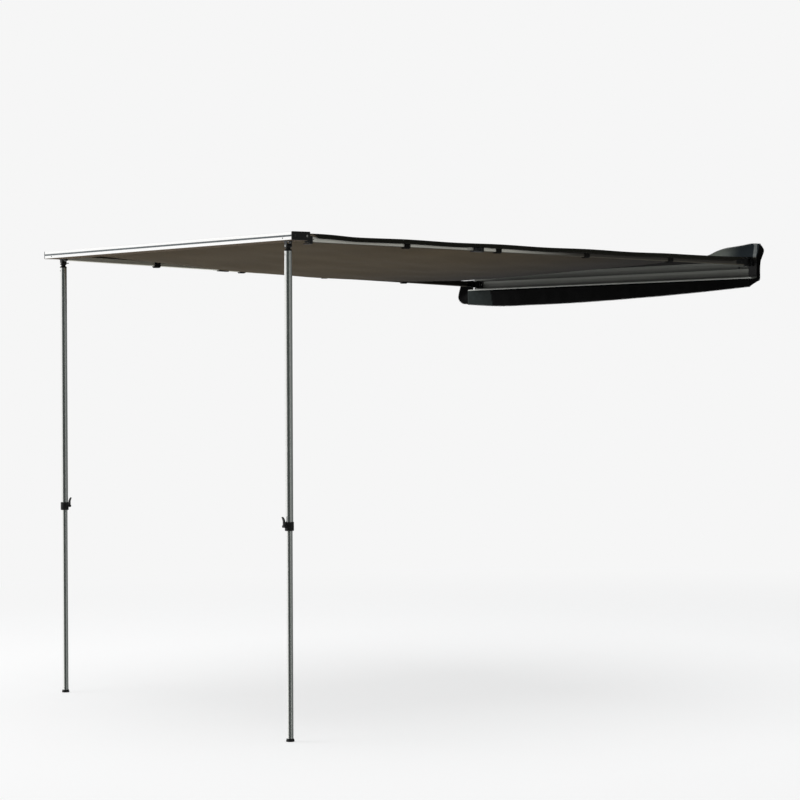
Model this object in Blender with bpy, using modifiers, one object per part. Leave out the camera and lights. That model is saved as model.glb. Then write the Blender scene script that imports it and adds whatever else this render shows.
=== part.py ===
"""Side awning for a vehicle's roof rack, pulled out, with its legs down and its cover open.

The origin is the middle of the aluminium backboard's flat rear face, which bolts to the rack.
X runs along the vehicle, -Y points away from it, and +Z is up. Lengths are in metres.
"Near" is the +X end and "far" is the -X end.
"""
import math

import bmesh
import bpy
from mathutils import Matrix, Vector

# Clearances
GAP = 0.0003
LOOSE = 0.0010
WELD = 0.000001

# Backboard extrusion
BOARD_LENGTH = 2.040
BOARD_HEIGHT = 0.095
BOARD_DEPTH = 0.014
RIB_HEIGHTS = (0.031, 0.004, -0.022)
RIB_WIDTH = 0.004
RIB_DEPTH = 0.0025
LIP_DEPTH = 0.055
LIP_WALL = 0.0035
LIP_RIM = 0.006
SLOT_OFFSET = 0.026
SLOT_MOUTH = 0.010
SLOT_LIP = 0.003
SLOT_WIDTH = 0.019
SLOT_DEPTH = 0.006

# Bead channels and the beads of the sheet's two ends
CHANNEL_DIAMETER = 0.0072
CHANNEL_MOUTH = 0.0026
CHANNEL_INSET = 0.0052
BEAD_DIAMETER = 0.0062
BEAD_FIN = 0.0012
BEAD_SHORT = 0.004

# Front beam
BEAM_SHORT = 0.040
BEAM_LENGTH = BOARD_LENGTH - BEAM_SHORT
BEAM_DEPTH = 0.086
BEAM_HEIGHT = 0.034
BEAM_WALL = 0.0025
BEAM_FRONT_Y = -2.500
BEAM_BOTTOM_Z = 0.059
GROOVE_BOTTOM = 0.0165
GROOVE_HEIGHT = 0.0045
GROOVE_DEPTH = 0.007
CAP_WALL = 0.005
CAP_PLUG = 0.020

# Arms
ARM_INSET = 0.028
ARM_X = BEAM_LENGTH / 2 - ARM_INSET
ARM_HINGE_Y = -0.034
ARM_HINGE_Z = {"near": 0.028, "far": -0.0160}
ARM_FOLD_CANT = math.radians(0.35)
ARM_TIP_RISE = 0.006
ARM_REACH = -BEAM_FRONT_Y - BEAM_DEPTH + ARM_HINGE_Y - LOOSE
OUTER_ARM = (0.022, 0.028)
INNER_ARM = (0.018, 0.024)
ARM_WALL = 0.0015
ARM_CORNER = 0.005
ARM_LOCK = 1.531
ARM_OVERLAP = 0.150
ARM_COLLAR = (0.030, 0.032, 0.050)
ARM_COLLAR_CORNER = 0.004
ARM_LEVER_DROP = 0.0065
KNUCKLE_LENGTH = 0.022
KNUCKLE_PLUG = 0.040
TIP_SIZE = (0.028, 0.026, 0.010)
REACH_TRAVEL = 0.750

# Arm hinge brackets and the heads of all hinge pins
PIN_DIAMETER = 0.008
PIN_HEAD_WALL = 0.0015
PIN_HEAD_SHARE = 1.42
EAR_WALL = 0.004
BRACKET_WALL = 0.004
BRACKET_WIDTH = 0.050
EAR_WIDTH = 0.024

# Cap cradle under each arm tip
CRADLE_LENGTH = 0.012
CRADLE_WALL = 0.004
CRADLE_WIDTH = 0.050
CRADLE_RISE = 0.027
CRADLE_BRIDGE = 0.004

# Legs
LEG_INSET = 0.060
LEG_Y_INSET = {"near": 0.022, "far": 0.064}
LEG_PIVOT_DROP = 0.020
UPPER_LEG = 0.031
LOWER_LEG = 0.0254
LEG_WALL = 0.0015
UPPER_LEG_LENGTH = 1.065
LEG_OVERLAP = 0.200
LEG_TOP_DROP = 0.020
LEG_COLLAR = 0.036
LEG_COLLAR_LENGTH = 0.036
STANDING_HEIGHT = 1.9585
FOOT_DIAMETER = 0.034
FOOT_HEIGHT = 0.012
FOOT_SOLE = 0.003
HEAD_NECK = 0.018
HEAD_SHOULDER = 0.0045
HEAD_PLUG = 0.030
LEG_PIN = 0.006
LEG_EAR_WALL = 0.003
LEG_EAR_WIDTH = 0.017
LEG_PLATE = (0.031, 0.027, 0.003)

# Cam levers
LEVER_LENGTH = 0.038
LEVER_WIDTH = 0.010
LEVER_WALL = 0.004
LEVER_BOSS = 0.0055
LEVER_SPLAY = 0.007
LEVER_INNER = -0.002
LEVER_ROOT = 0.003
LEVER_BENDS = (0.58, 0.84)
LEVER_TIP = 0.002
CLAMP_RISE = 0.0072
LEVER_PIN = 0.004
LEVER_OFFSET = 0.006
LUG_WALL = 0.0025
LUG_ROOT = 0.009
LUG_REACH = 0.005

# Sheet, hem and straps
SHEET_WALL = 0.0016
HEM_DROP = 0.015
HEM_FADE_FRONT = (0.050, 0.018)
HEM_FADE_REAR = (0.070, 0.130)
SHEET_SAG = 0.066
SHEET_SAG_BIAS = 1.4
SHEET_FLAT = 0.036
SHEET_HALF = ARM_X + ARM_COLLAR[0] / 2 + LOOSE + SHEET_WALL / 2
EDGE_SAG = 0.001
STRAP_PLACES = (0.50, 0.98, 1.46, 1.93)
STRAP_WIDTH = 0.028
STRAP_WALL = 0.0015

# Cover: its two panels, and its end panels' edges from below to above, outward from the board's end
COVER_WALL = 0.002
FLAP_DROP = 0.058
FLAP_BELLY = 0.009
FLAP_WAVE = 0.004
FLAP_CORNER = (0.180, 0.012)
TOP_FLAP_LOW = 0.008
TOP_FLAP_RISE = 0.042
TOP_FLAP_START = 0.380
TOP_FLAP_LEAN = 0.010
PANEL_SWELL = 0.006
PANEL_ROOT = GAP + COVER_WALL / 2
PANEL_FOOT = -LIP_DEPTH - LOOSE
PANEL_SEWN = {
    "near": ((PANEL_FOOT, -0.0475), (-0.034, -0.0285), (-0.011, 0), (-0.005, 0.0285), (-0.003, 0.0475)),
    "far": ((PANEL_FOOT, -0.0475), (-0.039, -0.038), (-0.025, -0.019), (-0.011, 0.005), (-0.006, 0.0285)),
}
PANEL_LOOSE = {
    "near": ((PANEL_ROOT, -0.059, -0.102), (0.012, -0.028, -0.070), (0.021, -0.004, -0.015),
             (0.041, 0.006, 0.030), (0.053, 0.006, 0.062), (0.025, 0.003, 0.086), (PANEL_ROOT, 0.001, 0.0895)),
    "far": ((PANEL_ROOT, -0.059, -0.090), (0.049, -0.057, -0.078), (0.065, -0.056, -0.042),
            (0.047, -0.050, -0.002), (0.033, -0.045, 0.031)),
}

# Rack brackets and their bolts
RACK_BRACKET_X = 0.2745 * BOARD_LENGTH
RACK_BRACKET_WIDTH = 0.040
RACK_BRACKET_WALL = 0.005
RACK_BRACKET_HEIGHT = 0.080
RACK_BRACKET_REACH = 0.100
RACK_SLOT = (0.009, 0.050)
BOLT_DIAMETER = 0.006
BOLT_HOLE = 0.0085
BOLT_HEAD = (0.009, 0.005, 0.0175)
NUT_ACROSS = 0.010
NUT_HEIGHT = 0.005

SIDES = {"near": 1, "far": -1}
PARTS = "side_awning"
CUTTERS = "cutters"

ALONG_X = Matrix(((0, 0, 1), (1, 0, 0), (0, 1, 0))).to_4x4()
ALONG_Y = Matrix(((1, 0, 0), (0, 0, -1), (0, 1, 0))).to_4x4()


def clear_scene():
    """Remove everything that the file starts with."""
    for item in list(bpy.data.objects):
        bpy.data.objects.remove(item)
    for name in (PARTS, CUTTERS):
        group = bpy.data.collections.new(name)
        bpy.context.scene.collection.children.link(group)


def finish(name, colour, roughness, metallic):
    """A plain surface with the part's own colour."""
    material = bpy.data.materials.new(name)
    material.use_nodes = True
    shader = material.node_tree.nodes["Principled BSDF"]
    shader.inputs["Base Color"].default_value = (*colour, 1)
    shader.inputs["Roughness"].default_value = roughness
    shader.inputs["Metallic"].default_value = metallic
    material.diffuse_color = (*colour, 1)
    return material


FINISHES = {
    "mill_aluminium": ((0.60, 0.59, 0.56), 0.35, 1.0),
    "anodised_aluminium": ((0.42, 0.42, 0.40), 0.45, 1.0),
    "steel": ((0.50, 0.50, 0.50), 0.40, 1.0),
    "black_plastic": ((0.018, 0.018, 0.018), 0.50, 0.0),
    "canvas": ((0.070, 0.055, 0.038), 0.90, 0.0),
    "webbing": ((0.016, 0.015, 0.010), 0.90, 0.0),
    "coated_fabric": ((0.006, 0.006, 0.007), 0.55, 0.0),
}


def add_object(name, mesh, surface, parent=None, place=None):
    """Link one sub-part, in its parent's axes, with its own material."""
    item = bpy.data.objects.new(name, mesh)
    bpy.data.collections[PARTS].objects.link(item)
    mesh.materials.clear()
    mesh.materials.append(finish(name, *FINISHES[surface]))
    item.parent = parent
    if place is not None:
        item.matrix_local = place
    return item


def add_helper(name, mesh, parent=None, place=None):
    """Link a solid that only cuts or joins another."""
    item = bpy.data.objects.new(name, mesh)
    bpy.data.collections[CUTTERS].objects.link(item)
    item.parent = parent
    if place is not None:
        item.matrix_local = place
    item.hide_render = True
    item.display_type = "WIRE"
    return item


def combine(item, mesh, operation="UNION", place=None):
    """Join a helper solid to a sub-part, or cut it away."""
    helper = add_helper(f"{item.name}_{operation.lower()}", mesh, item.parent, place)
    modifier = item.modifiers.new(operation.title(), "BOOLEAN")
    modifier.operation = operation
    modifier.solver = "EXACT"
    modifier.object = helper
    return helper


def axis(name, place, parent=None):
    """An empty on a joint's axis that its moving pieces hang from."""
    item = bpy.data.objects.new(name, None)
    bpy.data.collections[PARTS].objects.link(item)
    item.empty_display_size = 0.03
    item.parent = parent
    item.matrix_local = place
    return item


def box(size, centre=(0, 0, 0)):
    """A box mesh of a given size round a centre."""
    mesh = bpy.data.meshes.new("box")
    shape = bmesh.new()
    bmesh.ops.create_cube(shape, size=1)
    bmesh.ops.scale(shape, vec=size, verts=shape.verts)
    bmesh.ops.translate(shape, vec=centre, verts=shape.verts)
    shape.to_mesh(mesh)
    shape.free()
    return mesh


def rod(radius, length, centre=(0, 0, 0), turn=None, sides=32):
    """A closed cylinder along Z, or turned to another axis."""
    mesh = bpy.data.meshes.new("rod")
    shape = bmesh.new()
    bmesh.ops.create_cone(shape, cap_ends=True, segments=sides, radius1=radius, radius2=radius, depth=length)
    if turn is not None:
        bmesh.ops.transform(shape, matrix=turn, verts=shape.verts)
    bmesh.ops.translate(shape, vec=centre, verts=shape.verts)
    shape.to_mesh(mesh)
    shape.free()
    smooth(mesh)
    return mesh


def smooth(mesh, angle=35):
    """Shade round walls smooth and keep the corners sharp."""
    mesh.shade_smooth()
    mesh.set_sharp_from_angle(angle=math.radians(angle))


def arc(centre, radius, start, end, steps):
    """Points along a stretch of a circle, angles in degrees."""
    points = []
    for step in range(steps + 1):
        angle = math.radians(start + (end - start) * step / steps)
        points.append((centre[0] + radius * math.cos(angle), centre[1] + radius * math.sin(angle)))
    return points


def rounded(width, height, corner, steps=3, centre=(0, 0)):
    """A rectangle's outline with round corners."""
    x, y = width / 2 - corner, height / 2 - corner
    points = []
    for quarter, (side_x, side_y) in enumerate(((1, 1), (-1, 1), (-1, -1), (1, -1))):
        middle = (centre[0] + side_x * x, centre[1] + side_y * y)
        points += arc(middle, corner, 90 * quarter, 90 * quarter + 90, steps)
    return points


def circle(radius, steps=32):
    """A circle's outline."""
    return arc((0, 0), radius, 0, 360 * (steps - 1) / steps, steps - 1)


def extrusion(outlines, length, turn=None):
    """A solid of flat outlines, the first one filled and the others its holes, centred on its length."""
    curve = bpy.data.curves.new("outline", "CURVE")
    curve.dimensions = "2D"
    curve.fill_mode = "BOTH"
    curve.extrude = length / 2
    for outline in outlines:
        spline = curve.splines.new("POLY")
        spline.points.add(len(outline) - 1)
        for point, (x, y) in zip(spline.points, outline):
            point.co = (x, y, 0, 1)
        spline.use_cyclic_u = True
    guide = bpy.data.objects.new("outline", curve)
    bpy.data.collections[CUTTERS].objects.link(guide)
    depsgraph = bpy.context.evaluated_depsgraph_get()
    mesh = bpy.data.meshes.new_from_object(guide.evaluated_get(depsgraph))
    bpy.data.objects.remove(guide)
    bpy.data.curves.remove(curve)
    shape = bmesh.new()
    shape.from_mesh(mesh)
    bmesh.ops.remove_doubles(shape, verts=shape.verts, dist=WELD)
    bmesh.ops.recalc_face_normals(shape, faces=shape.faces)
    if turn is not None:
        bmesh.ops.transform(shape, matrix=turn, verts=shape.verts)
    shape.to_mesh(mesh)
    shape.free()
    smooth(mesh)
    return mesh


def turned(name, profile, surface, parent, closed=False, sides=32):
    """A turned piece round the local Z axis, from a profile that runs down its outer side."""
    mesh = bpy.data.meshes.new(name)
    edges = [(index, index + 1) for index in range(len(profile) - 1)]
    if closed:
        edges.append((len(profile) - 1, 0))
    mesh.from_pydata([(radius, 0, height) for radius, height in profile], edges, [])
    item = add_object(name, mesh, surface, parent)
    screw = item.modifiers.new("Turn", "SCREW")
    screw.axis = "Z"
    screw.angle = math.tau
    screw.steps = sides
    screw.render_steps = sides
    screw.use_merge_vertices = True
    screw.merge_threshold = WELD
    screw.use_smooth_shade = True
    return item


def bead_channel(centre, opening):
    """A round channel's outline, clockwise from one lip of its mouth to the other."""
    radius = CHANNEL_DIAMETER / 2
    lip = math.degrees(math.asin(CHANNEL_MOUTH / 2 / radius))
    return arc(centre, radius, opening - lip, opening + lip - 360, 14)


def bead_outline(fin_length):
    """The bead's rod and the fin that leaves it along the local Y axis."""
    radius = BEAD_DIAMETER / 2
    lip = math.degrees(math.asin(BEAD_FIN / 2 / radius))
    half = BEAD_FIN / 2
    points = arc((0, 0), radius, 90 + lip, 450 - lip, 14)
    return points + [(half, fin_length), (-half, fin_length)]


def board_outline():
    """The backboard's section: Y to the right and Z up, from its rear foot round to its lip."""
    half = BOARD_HEIGHT / 2
    mouth, width = SLOT_MOUTH / 2, SLOT_WIDTH / 2
    floor = -SLOT_LIP - SLOT_DEPTH
    points = [(0, -half)]
    for middle in (-SLOT_OFFSET, SLOT_OFFSET):
        points += [(0, middle - mouth), (-SLOT_LIP, middle - mouth), (-SLOT_LIP, middle - width)]
        points += [(floor, middle - width), (floor, middle + width)]
        points += [(-SLOT_LIP, middle + width), (-SLOT_LIP, middle + mouth), (0, middle + mouth)]
    points.append((0, half))
    channel = board_channel()
    points.append((channel[0] + CHANNEL_MOUTH / 2, half))
    points += bead_channel(channel, 90)
    points.append((channel[0] - CHANNEL_MOUTH / 2, half))
    points.append((-BOARD_DEPTH, half))
    for rib in RIB_HEIGHTS:
        upper, lower = rib + RIB_WIDTH / 2, rib - RIB_WIDTH / 2
        points += [(-BOARD_DEPTH, upper), (-BOARD_DEPTH - RIB_DEPTH, upper)]
        points += [(-BOARD_DEPTH - RIB_DEPTH, lower), (-BOARD_DEPTH, lower)]
    rim = -LIP_DEPTH + LIP_WALL
    points += [(-BOARD_DEPTH, -half + LIP_WALL), (rim, -half + LIP_WALL), (rim, -half + LIP_RIM)]
    points += [(-LIP_DEPTH, -half + LIP_RIM), (-LIP_DEPTH, -half)]
    return points


def board_channel():
    """The middle of the backboard's bead channel, as Y and Z."""
    return (-BOARD_DEPTH / 2, BOARD_HEIGHT / 2 - CHANNEL_INSET)


def make_backboard():
    """The extrusion that bolts to the rack and carries everything else."""
    add_object("backboard", extrusion([board_outline()], BOARD_LENGTH, ALONG_X), "anodised_aluminium")
    y, z = board_channel()
    fin = BOARD_HEIGHT / 2 - z + BEAD_FIN
    bead = extrusion([bead_outline(fin)], BOARD_LENGTH - 2 * BEAD_SHORT, ALONG_X)
    add_object("rear_bead", bead, "canvas", place=Matrix.Translation((0, y, z)))


def make_rack_brackets():
    """Two angle brackets behind the backboard, each on two tee bolts."""
    bottom, top = -RACK_BRACKET_HEIGHT / 2, RACK_BRACKET_HEIGHT / 2
    wall, reach = RACK_BRACKET_WALL, RACK_BRACKET_REACH
    inner = arc((GAP + 2 * wall, bottom + 2 * wall), wall, 270, 180, 4)
    outline = [(GAP, bottom), (reach, bottom), (reach, bottom + wall)]
    outline += inner + [(GAP + wall, top), (GAP, top)]
    for name, sign in SIDES.items():
        x = sign * RACK_BRACKET_X
        place = Matrix.Translation((x, 0, 0))
        section = extrusion([outline], RACK_BRACKET_WIDTH, ALONG_X)
        bracket = add_object(f"rack_bracket_{name}", section, "black_plastic", place=place)
        slot = rounded(RACK_SLOT[0], RACK_SLOT[1], RACK_SLOT[0] / 2 - WELD, 6)
        cutter = extrusion([slot], 4 * wall)
        middle = Matrix.Translation((x, (reach + 3 * wall) / 2, bottom + wall / 2))
        combine(bracket, cutter, "DIFFERENCE", middle)
        for level, z in (("low", -SLOT_OFFSET), ("high", SLOT_OFFSET)):
            hole = rod(BOLT_HOLE / 2, 4 * wall, turn=ALONG_Y, sides=20)
            helper = combine(bracket, hole, "DIFFERENCE", Matrix.Translation((x, wall / 2, z)))
            helper.name = f"{bracket.name}_hole_{level}"
            make_tee_bolt(f"tee_bolt_{name}_{level}", x, z)


def make_tee_bolt(name, x, z):
    """A tee-head bolt in the backboard's slot with its nut outside the bracket."""
    head_front = -SLOT_LIP - GAP
    nut_back = RACK_BRACKET_WALL + 2 * GAP
    end = nut_back + NUT_HEIGHT
    head = box(BOLT_HEAD, (0, head_front - BOLT_HEAD[1] / 2, 0))
    place = Matrix.Translation((x, 0, z))
    bolt = add_object(name, head, "steel", place=place)
    root = head_front - BOLT_HEAD[1] / 2
    shank = rod(BOLT_DIAMETER / 2, end - root + LOOSE, (0, (end + LOOSE + root) / 2, 0), ALONG_Y, 16)
    combine(bolt, shank, "UNION", place).name = f"{name}_shank"
    nut = rod(NUT_ACROSS / 2 / math.cos(math.pi / 6), NUT_HEIGHT, (0, (end + nut_back) / 2, 0), ALONG_Y, 6)
    combine(bolt, nut, "UNION", place).name = f"{name}_nut"


def arm_slope(side):
    """How far an arm climbs from its hinge to its tip, as an angle."""
    return math.asin((BEAM_BOTTOM_Z + ARM_TIP_RISE - ARM_HINGE_Z[side]) / ARM_REACH)


def arm_axes(side):
    """An arm's axes at its hinge: -Y runs out along it, and it folds about Z.

    Both arms fold in planes that lean the same way, so the near one passes above the far one.
    """
    slope = arm_slope(side)
    along = Vector((0, math.cos(slope), -math.sin(slope)))
    across = Vector((math.cos(ARM_FOLD_CANT), 0, -math.sin(ARM_FOLD_CANT)))
    up = across.cross(along).normalized()
    across = along.cross(up)
    turn = Matrix((across, along, up)).transposed().to_4x4()
    return Matrix.Translation((SIDES[side] * ARM_X, ARM_HINGE_Y, ARM_HINGE_Z[side])) @ turn


def make_arm_bracket(side):
    """The fork on the backboard's face that holds an arm's hinge pin."""
    face = -BOARD_DEPTH - RIB_DEPTH - GAP
    x, z = SIDES[side] * ARM_X, ARM_HINGE_Z[side]
    inner = OUTER_ARM[1] / 2 + GAP
    height = 2 * (inner + EAR_WALL)
    base = box((BRACKET_WIDTH, BRACKET_WALL, height), (x, face - BRACKET_WALL / 2, z))
    bracket = add_object(f"{side}_arm_bracket", base, "black_plastic")
    root = face - BRACKET_WALL / 2 - ARM_HINGE_Y
    half = EAR_WIDTH / 2
    ear = [(half, root), (half, 0)] + arc((0, 0), half, -15, -165, 8) + [(-half, 0), (-half, root)]
    for level, name in ((1, "upper"), (-1, "lower")):
        mesh = extrusion([ear], EAR_WALL)
        middle = Matrix.Translation((0, 0, level * (inner + EAR_WALL / 2)))
        helper = combine(bracket, mesh, "UNION", arm_axes(side) @ middle)
        helper.name = f"{bracket.name}_{name}_ear"
    bore = rod(PIN_DIAMETER / 2 + GAP, 2 * height, sides=24)
    combine(bracket, bore, "DIFFERENCE", arm_axes(side))
    pin_length = height + 2 * GAP
    pin = turned(f"{side}_arm_pin", pin_profile(PIN_DIAMETER / 2, pin_length / 2), "steel", None, sides=24)
    pin.matrix_local = arm_axes(side)


def pin_profile(radius, half_length):
    """A hinge pin's profile down its outer side, with a flat head at each end."""
    rim, end = radius * PIN_HEAD_SHARE, half_length + PIN_HEAD_WALL
    upper = [(0, end), (rim, end), (rim, half_length), (radius, half_length)]
    return upper + [(across, -along) for across, along in reversed(upper)]


def make_clamp(owner, collar, lever_parent, offset, turn):
    """Lugs and their pin on a clamp collar, and the cam lever between them.

    The lever's own axes are Z along its pin, Y along its handle and X outward.
    """
    gap = 2 * GAP
    for level, name in ((1, "upper"), (-1, "lower")):
        lug = rounded(LUG_ROOT + LUG_REACH, 2 * LEVER_BOSS, LUG_REACH * 0.8, 3)
        mesh = extrusion([lug], LUG_WALL)
        shift = ((LUG_REACH - LUG_ROOT) / 2, 0, level * (LEVER_WIDTH / 2 + gap + LUG_WALL / 2))
        helper = combine(collar, mesh, "UNION", offset @ turn @ Matrix.Translation(shift))
        helper.name = f"{collar.name}_{name}_lug"
    pin = rod(LEVER_PIN / 2, LEVER_WIDTH + 2 * gap + LUG_WALL, sides=16)
    combine(collar, pin, "UNION", offset @ turn).name = f"{collar.name}_pin"
    lever_axis = axis(f"{owner}_lever_axis", offset @ turn, lever_parent)
    end, low, high = LEVER_LENGTH, *(share * LEVER_LENGTH for share in LEVER_BENDS)
    inner = [(LEVER_INNER, LEVER_BOSS), (LEVER_INNER, low), (LEVER_SPLAY / 3, high), (LEVER_SPLAY, end)]
    outer = [(LEVER_SPLAY + LEVER_WALL * 0.7, end - LEVER_TIP), (LEVER_SPLAY / 2 + LEVER_WALL, high)]
    outer += [(LEVER_WALL, low), (LEVER_WALL, LEVER_ROOT)]
    boss = arc((0, 0), LEVER_BOSS, 20, -230, 14)
    outline = boss + inner + outer
    mesh = extrusion([outline, circle(LEVER_PIN / 2 + GAP, 16)], LEVER_WIDTH)
    add_object(f"{owner}_lever", mesh, "black_plastic", lever_axis)


def make_arm(side):
    """One telescopic arm with its hinge knuckle, clamp, inner tube and tip."""
    hinge = axis(f"{side}_arm_axis", arm_axes(side))
    width, height = OUTER_ARM
    fit = 2 * GAP
    half = width / 2
    eye = arc((0, 0), half, 0, 180, 16) + [(-half, -KNUCKLE_LENGTH), (half, -KNUCKLE_LENGTH)]
    knuckle = add_object(f"{side}_arm_knuckle", extrusion([eye], height), "black_plastic", hinge)
    plug_size = (width - 2 * ARM_WALL - fit, height - 2 * ARM_WALL - fit)
    plug = extrusion([rounded(*plug_size, ARM_CORNER - ARM_WALL)], KNUCKLE_PLUG + LOOSE, ALONG_Y)
    plug_middle = -KNUCKLE_LENGTH - KNUCKLE_PLUG / 2 + LOOSE / 2
    combine(knuckle, plug, "UNION", Matrix.Translation((0, plug_middle, 0)))
    bore = rod(PIN_DIAMETER / 2 + GAP, 2 * height, sides=24)
    combine(knuckle, bore, "DIFFERENCE", Matrix.Identity(4))

    start, end = -KNUCKLE_LENGTH - GAP, -ARM_LOCK
    bore_size = (width - 2 * ARM_WALL, height - 2 * ARM_WALL)
    outlines = [rounded(width, height, ARM_CORNER), rounded(*bore_size, ARM_CORNER - ARM_WALL)]
    tube = extrusion(outlines, start - end, ALONG_Y)
    add_object(f"{side}_arm_outer", tube, "mill_aluminium", hinge, Matrix.Translation((0, (start + end) / 2, 0)))

    collar_width, collar_height, collar_length = ARM_COLLAR
    place = Matrix.Translation((0, -ARM_LOCK, 0))
    shell = extrusion([rounded(collar_width, collar_height, ARM_COLLAR_CORNER)], collar_length, ALONG_Y)
    collar = add_object(f"{side}_arm_collar", shell, "black_plastic", hinge, place)
    seat = extrusion([rounded(width + fit, height + fit, ARM_CORNER + GAP)], collar_length, ALONG_Y)
    seat_place = Matrix.Translation((0, -ARM_LOCK + collar_length / 2 - GAP, 0))
    combine(collar, seat, "DIFFERENCE", seat_place).name = f"{collar.name}_seat"
    inner_size = (INNER_ARM[0] + fit, INNER_ARM[1] + fit)
    way = extrusion([rounded(*inner_size, ARM_CORNER - ARM_WALL + GAP)], 2 * collar_length, ALONG_Y)
    combine(collar, way, "DIFFERENCE", place).name = f"{collar.name}_way"
    sign = SIDES[side]
    turn = Matrix(((sign, 0, 0), (0, -1, 0), (0, 0, -sign))).to_4x4()
    offset = Matrix.Translation((sign * (collar_width / 2 + LEVER_OFFSET), -ARM_LOCK, -ARM_LEVER_DROP))
    make_clamp(f"{side}_arm", collar, hinge, offset, turn)

    slide = axis(f"{side}_arm_slide", Matrix.Identity(4), hinge)
    start = -ARM_LOCK + ARM_OVERLAP
    end = -ARM_REACH + TIP_SIZE[2] + GAP
    hollow = (INNER_ARM[0] - 2 * ARM_WALL, INNER_ARM[1] - 2 * ARM_WALL)
    outlines = [rounded(*INNER_ARM, ARM_CORNER - ARM_WALL), rounded(*hollow, ARM_CORNER - 2 * ARM_WALL)]
    tube = extrusion(outlines, start - end, ALONG_Y)
    add_object(f"{side}_arm_inner", tube, "mill_aluminium", slide, Matrix.Translation((0, (start + end) / 2, 0)))
    head = extrusion([rounded(TIP_SIZE[0], TIP_SIZE[1], ARM_CORNER)], TIP_SIZE[2], ALONG_Y)
    head_place = Matrix.Translation((0, -ARM_REACH + TIP_SIZE[2] / 2, 0))
    tip = add_object(f"{side}_arm_tip", head, "black_plastic", slide, head_place)
    plug_size = (hollow[0] - fit, hollow[1] - fit)
    plug = extrusion([rounded(*plug_size, ARM_CORNER - 2 * ARM_WALL)], HEAD_PLUG, ALONG_Y)
    plug_place = Matrix.Translation((0, -ARM_REACH + TIP_SIZE[2] + HEAD_PLUG / 2 - LOOSE, 0))
    combine(tip, plug, "UNION", plug_place)


def beam_outline():
    """The front beam's section: Y to the right and Z up, from its front foot round."""
    depth, height, corner = BEAM_DEPTH, BEAM_HEIGHT, 0.002
    y, z = beam_channel()
    points = [(corner, 0), (depth - corner, 0), (depth, corner), (depth, z - CHANNEL_MOUTH / 2)]
    points += bead_channel((y, z), 0)
    points += [(depth, z + CHANNEL_MOUTH / 2), (depth, height - corner), (depth - corner, height)]
    points += [(corner, height), (0, height - corner), (0, GROOVE_BOTTOM + GROOVE_HEIGHT)]
    points += [(GROOVE_DEPTH, GROOVE_BOTTOM + GROOVE_HEIGHT), (GROOVE_DEPTH, GROOVE_BOTTOM)]
    return points + [(0, GROOVE_BOTTOM), (0, corner)]


def beam_channel():
    """The middle of the beam's bead channel, as Y and Z."""
    return (BEAM_DEPTH - CHANNEL_INSET, BEAM_HEIGHT - CHANNEL_DIAMETER)


def beam_hollow(inset):
    """The hollow inside the beam, or the plug that fits it, stepped round the groove and the bead channel."""
    wall = BEAM_WALL + inset
    back, top = BEAM_DEPTH - wall, BEAM_HEIGHT - wall
    y, z = beam_channel()
    step_y = y - CHANNEL_DIAMETER / 2 - wall
    step_z = z - CHANNEL_DIAMETER / 2 - wall
    low, high = GROOVE_BOTTOM - wall, GROOVE_BOTTOM + GROOVE_HEIGHT + wall
    deep = GROOVE_DEPTH + wall
    points = [(wall, wall), (back, wall), (back, step_z), (step_y, step_z), (step_y, top), (wall, top)]
    return points + [(wall, high), (deep, high), (deep, low), (wall, low)]


def make_beam(slide):
    """The front beam with its end caps, the sheet's front bead and the legs' hinge forks."""
    length = BEAM_LENGTH - 2 * CAP_WALL
    section = extrusion([beam_outline(), beam_hollow(0)], length, ALONG_X)
    add_object("front_beam", section, "mill_aluminium", slide)
    y, z = beam_channel()
    bead = extrusion([bead_outline(BEAM_DEPTH - y + BEAD_FIN)], length - 2 * BEAD_SHORT, ALONG_X @ quarter_turn())
    add_object("front_bead", bead, "canvas", slide, Matrix.Translation((0, y, z)))
    for side, sign in SIDES.items():
        wall = CAP_WALL - GAP
        plate_x = sign * (BEAM_LENGTH / 2 - wall / 2)
        outline = rounded(BEAM_DEPTH, BEAM_HEIGHT, 0.003, 3, (BEAM_DEPTH / 2, BEAM_HEIGHT / 2))
        place = Matrix.Translation((plate_x, 0, 0))
        cap = add_object(f"{side}_beam_cap", extrusion([outline], wall, ALONG_X), "black_plastic", slide, place)
        plug = extrusion([beam_hollow(2 * GAP)], CAP_PLUG, ALONG_X)
        plug_x = sign * (BEAM_LENGTH / 2 - wall - CAP_PLUG / 2 + LOOSE)
        combine(cap, plug, "UNION", Matrix.Translation((plug_x, 0, 0))).name = f"{cap.name}_plug"
        make_cradle(side, cap)


def quarter_turn():
    """A quarter turn in an outline's own plane, which points a bead's fin to the rear."""
    return Matrix.Rotation(math.radians(-90), 4, "Z")


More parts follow.
